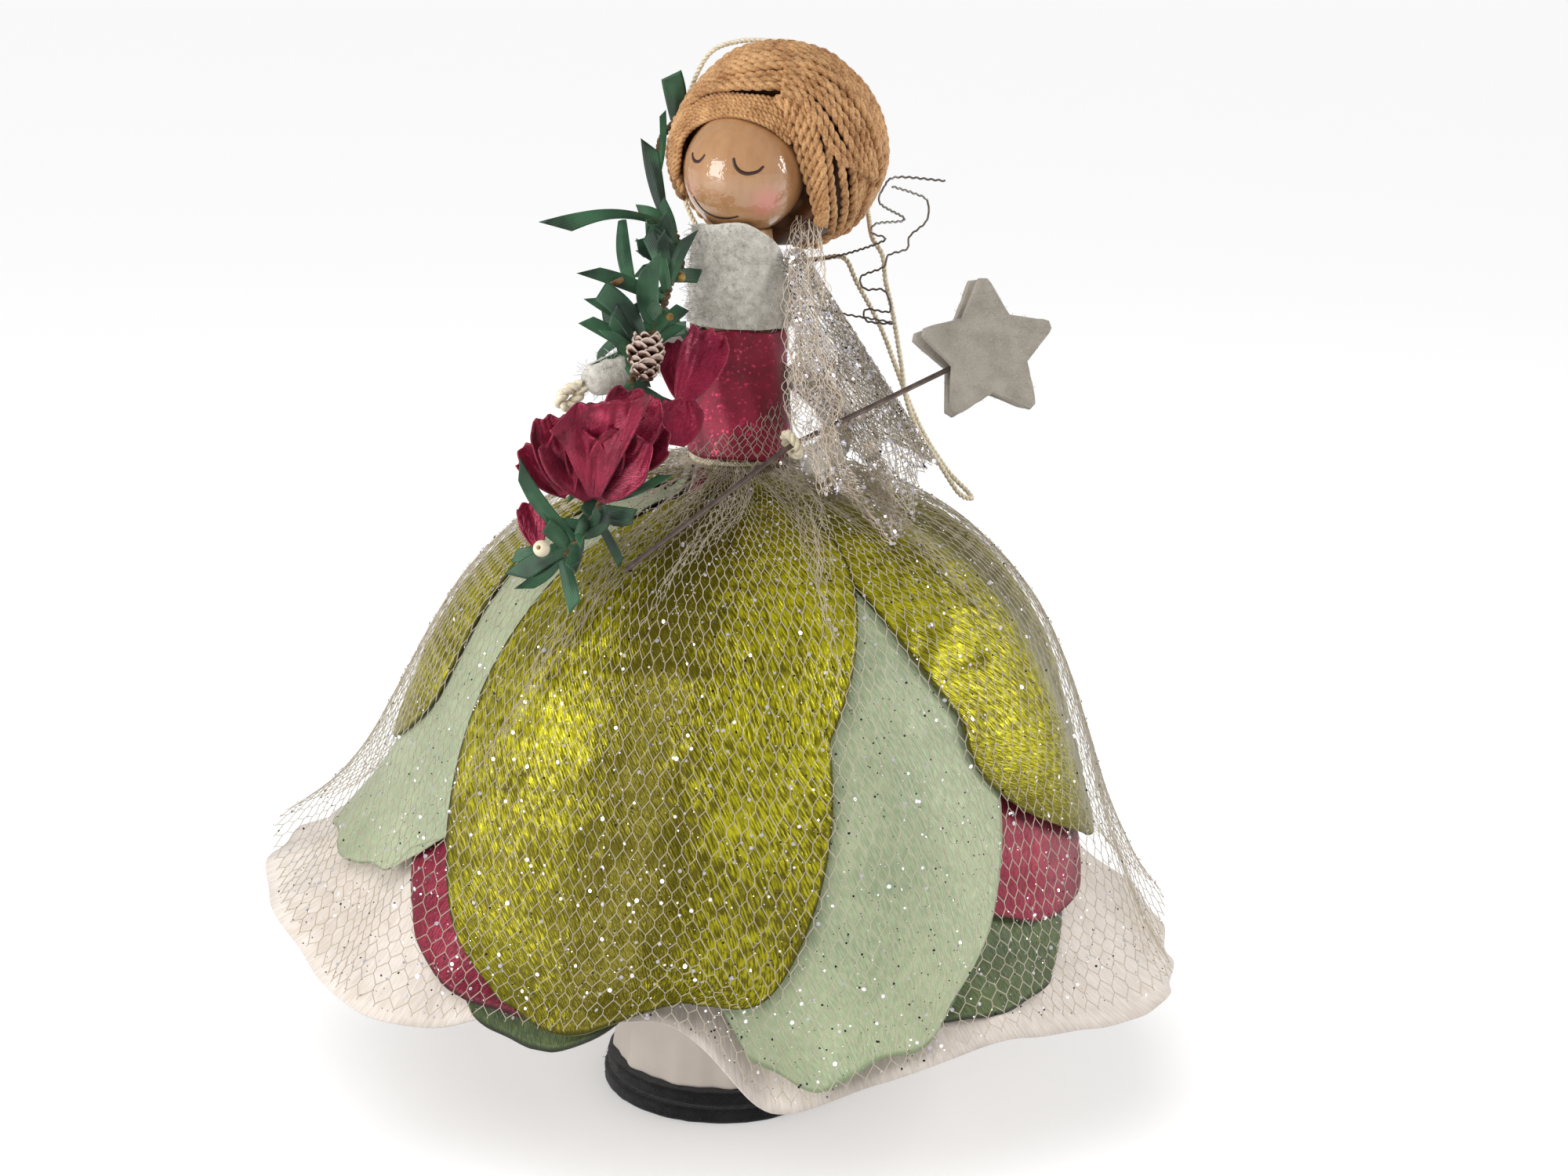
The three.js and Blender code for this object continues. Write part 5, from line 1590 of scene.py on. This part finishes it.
sleeve_layers = []
for columns, rows, lift in ((17, 16, 0), (24, 24, -1.0), (30, 28, -0.5), (34, 33, 0.1)):
    sleeve_layers += sleeve_net(columns, rows, lift)
sleeve_mesh = round_bars(sleeve_layers, 0.07, 0)
tulle_sleeve = piece("tulle_sleeve_net", sleeve_mesh, nylon_net, "tulle", "tulle_sleeve")
tail_strips = {  # its places down to the skirt, then its width in millimetres, columns and rows
    "edge": (
        [seen(1.06, -0.72, 0.05), seen(0.99, -2.4, 0.95), seen(1.0, -3.5, 1.75), seen(1.12, -4.9, 2.3)],
        6.4, 5, 20,
    ),
    "front": (
        [seen(1.1, -2.6, 1.1), seen(1.16, -3.6, 1.7), seen(1.3, -4.4, 2.2), seen(1.42, -5.0, 2.45)],
        7.0, 5, 13,
    ),
    "left_fold": (
        [seen(1.3, -4.0, 1.85), seen(1.5, -4.75, 2.15), bell(69.2, 0.241, 10.6), bell(66.2, 0.328, 9.8)],
        3.2, 4, 13,
    ),
    "right_fold": ([seen(1.95, -4.3, 1.7), bell(88.4, 0.221, 10.8), bell(68.1, 0.321, 9.9)], 2.6, 3, 9),
    "middle": (
        [seen(1.45, -3.0, 0.75), seen(1.75, -4.0, 1.1), bell(92, 0.2, 10.8), bell(78, 0.3, 9.6)],
        5.5, 5, 12,
    ),
}
tail_lines = []
for number, (name, (path, width, columns, rows)) in enumerate(tail_strips.items()):
    for layer in range(3):
        tail_lines += gathered(path, width, columns + layer, rows + 3 * layer, 10 * number + layer)
    spangles = flakes(bunched(path, width, 10 * number), 260, (0.2, 0.8), 55 + number)
    piece(f"sleeve_{name}_glitter", spangles, bright_glitter, "tulle")
piece("tulle_sleeve_folds", round_bars(tail_lines, 0.06, 0), grey_net, "tulle")
sleeve_glitter = {  # count, smallest and largest flake, seed and finish
    "sleeve_bright_glitter": (2600, (0.16, 0.75), 51, bright_glitter),
    # Painted shade: a darkened copy of the glitter.
    "sleeve_shaded_glitter": (1500, (0.15, 0.45), 52, shaded_glitter),
}
for name, (count, sizes, seed, finish) in sleeve_glitter.items():
    piece(name, flakes(lambda u, v: sleeve_surface(u, v, 0.4), count, sizes, seed), finish, "tulle")

# Overlap: the net's loose end crosses the bodice's lower right. From there, and at the left, it runs
# down over the petals as narrow folds, where it lies two layers thick.
def lap_surface(u, v):
    """Round the bodice from its right, and a little off it at the waist."""
    return polar(-40 + 165 * u, 7.75 + 0.25 * math.sin(14 * u) + 1.6 * v**3, 117 - 14.6 * v)


lap_lines = net_lines(lap_surface, 17, 11, closed=False, inside=lambda u, v: v > 0.93 - 0.85 * u**0.85)
lap_lines += net_lines(
    lambda u, v: lap_surface(u, v) + toward * 0.3, 14, 9, closed=False,
    inside=lambda u, v: v > 0.95 - 0.8 * u**0.85,
)
front_folds = [  # places on the skirt: angle, share down and height off the lining; then the width
    (
        [
            (14, 0.05, 9.5), (1.8, 0.234, 9), (-9.2, 0.392, 8.7), (-12.6, 0.486, 8.7), (-16.3, 0.577, 8.7),
            (-21.5, 0.66, 8.7), (-25.4, 0.707, 8.6),
        ],
        5.5,
    ),
    ([(30, 0.04, 9.5), (22, 0.2, 9), (12, 0.33, 8.7), (4, 0.45, 8.6)], 4),
    ([(60, 0.04, 9.5), (50, 0.2, 9.2), (44, 0.36, 8.8), (42, 0.5, 8.6)], 4.5),
    ([(78, 0.04, 9.5), (74, 0.2, 9.2), (78, 0.36, 8.8), (84, 0.5, 8.6)], 4),
]
for number, (places, width) in enumerate(front_folds):
    path = [bell(*place) for place in places]
    for layer in range(2):
        lap_lines += gathered(path, width, 6, 18 + 4 * layer, 40 + 7 * number + layer)
piece("overskirt_overlap_net", round_bars(lap_lines, 0.055, 0), nylon_net, "tulle")

# Wings: what is left of a pair of wire wings, two lengths of crimped thin wire caught behind the
# collar.
crimped_wire = plain_finish("thin_oxidised_wire", "#6e6862", 0.35, 0.8)
wing_places = {
    "wing_wire_upper": [
        (160, 0.28, 0.62), (142, 0.48, 0.62), (107, 0.7, 0.69), (104, 0.64, 0.71), (107, 0.66, 0.73),
        (117, 0.79, 0.73), (117, 0.8, 0.74), (103.3, 0.675, 0.782), (101.8, 0.694, 0.821), (110, 0.75, 0.84),
        (116, 1, 0.83),
    ],
    "wing_wire_lower": [
        (166, 0.28, 0.56), (148, 0.46, 0.5), (129, 0.81, 0.47), (133, 0.7, 0.47), (133, 0.69, 0.5),
        (127, 0.79, 0.5), (128, 0.76, 0.55), (133, 0.68, 0.55), (134, 0.66, 0.58), (126, 0.74, 0.61),
        (125, 0.76, 0.64), (121, 0.84, 0.66), (121, 0.85, 0.69), (120, 0.93, 0.73), (118, 0.92, 0.78),
        (115, 0.84, 0.8), (107, 0.73, 0.82),
    ],
}
for node_name, places in wing_places.items():
    line = even(through([at(*place) for place in places], 12), 0.25)
    for i, spot in enumerate(line):
        spot.z += 0.09 * math.sin(i * 1.3)
    piece(node_name + "_crimped", round_bars([line], 0.16, 1), crimped_wire, "silver_wire", node_name)

# Nape knot: both ends of the cord are tied through the collar in a double overhand knot.
knot_middle, knot_size = polar(190, 9.2, 129.66), 1.1
knot = []
for i in range(121):
    a = math.tau * i / 120
    reach = 0.62 + 0.24 * math.cos(3 * a)
    place = Vector((reach * math.cos(2 * a), 0.36 * math.sin(3 * a), reach * math.sin(2 * a)))
    knot.append(knot_middle + place * knot_size)
knot_cord = round_bars(twisted(knot, 2, 0.17, 1.5), 0.22)
piece("nape_knot_cotton", knot_cord, cream_cotton, "cream_cord", "nape_knot")
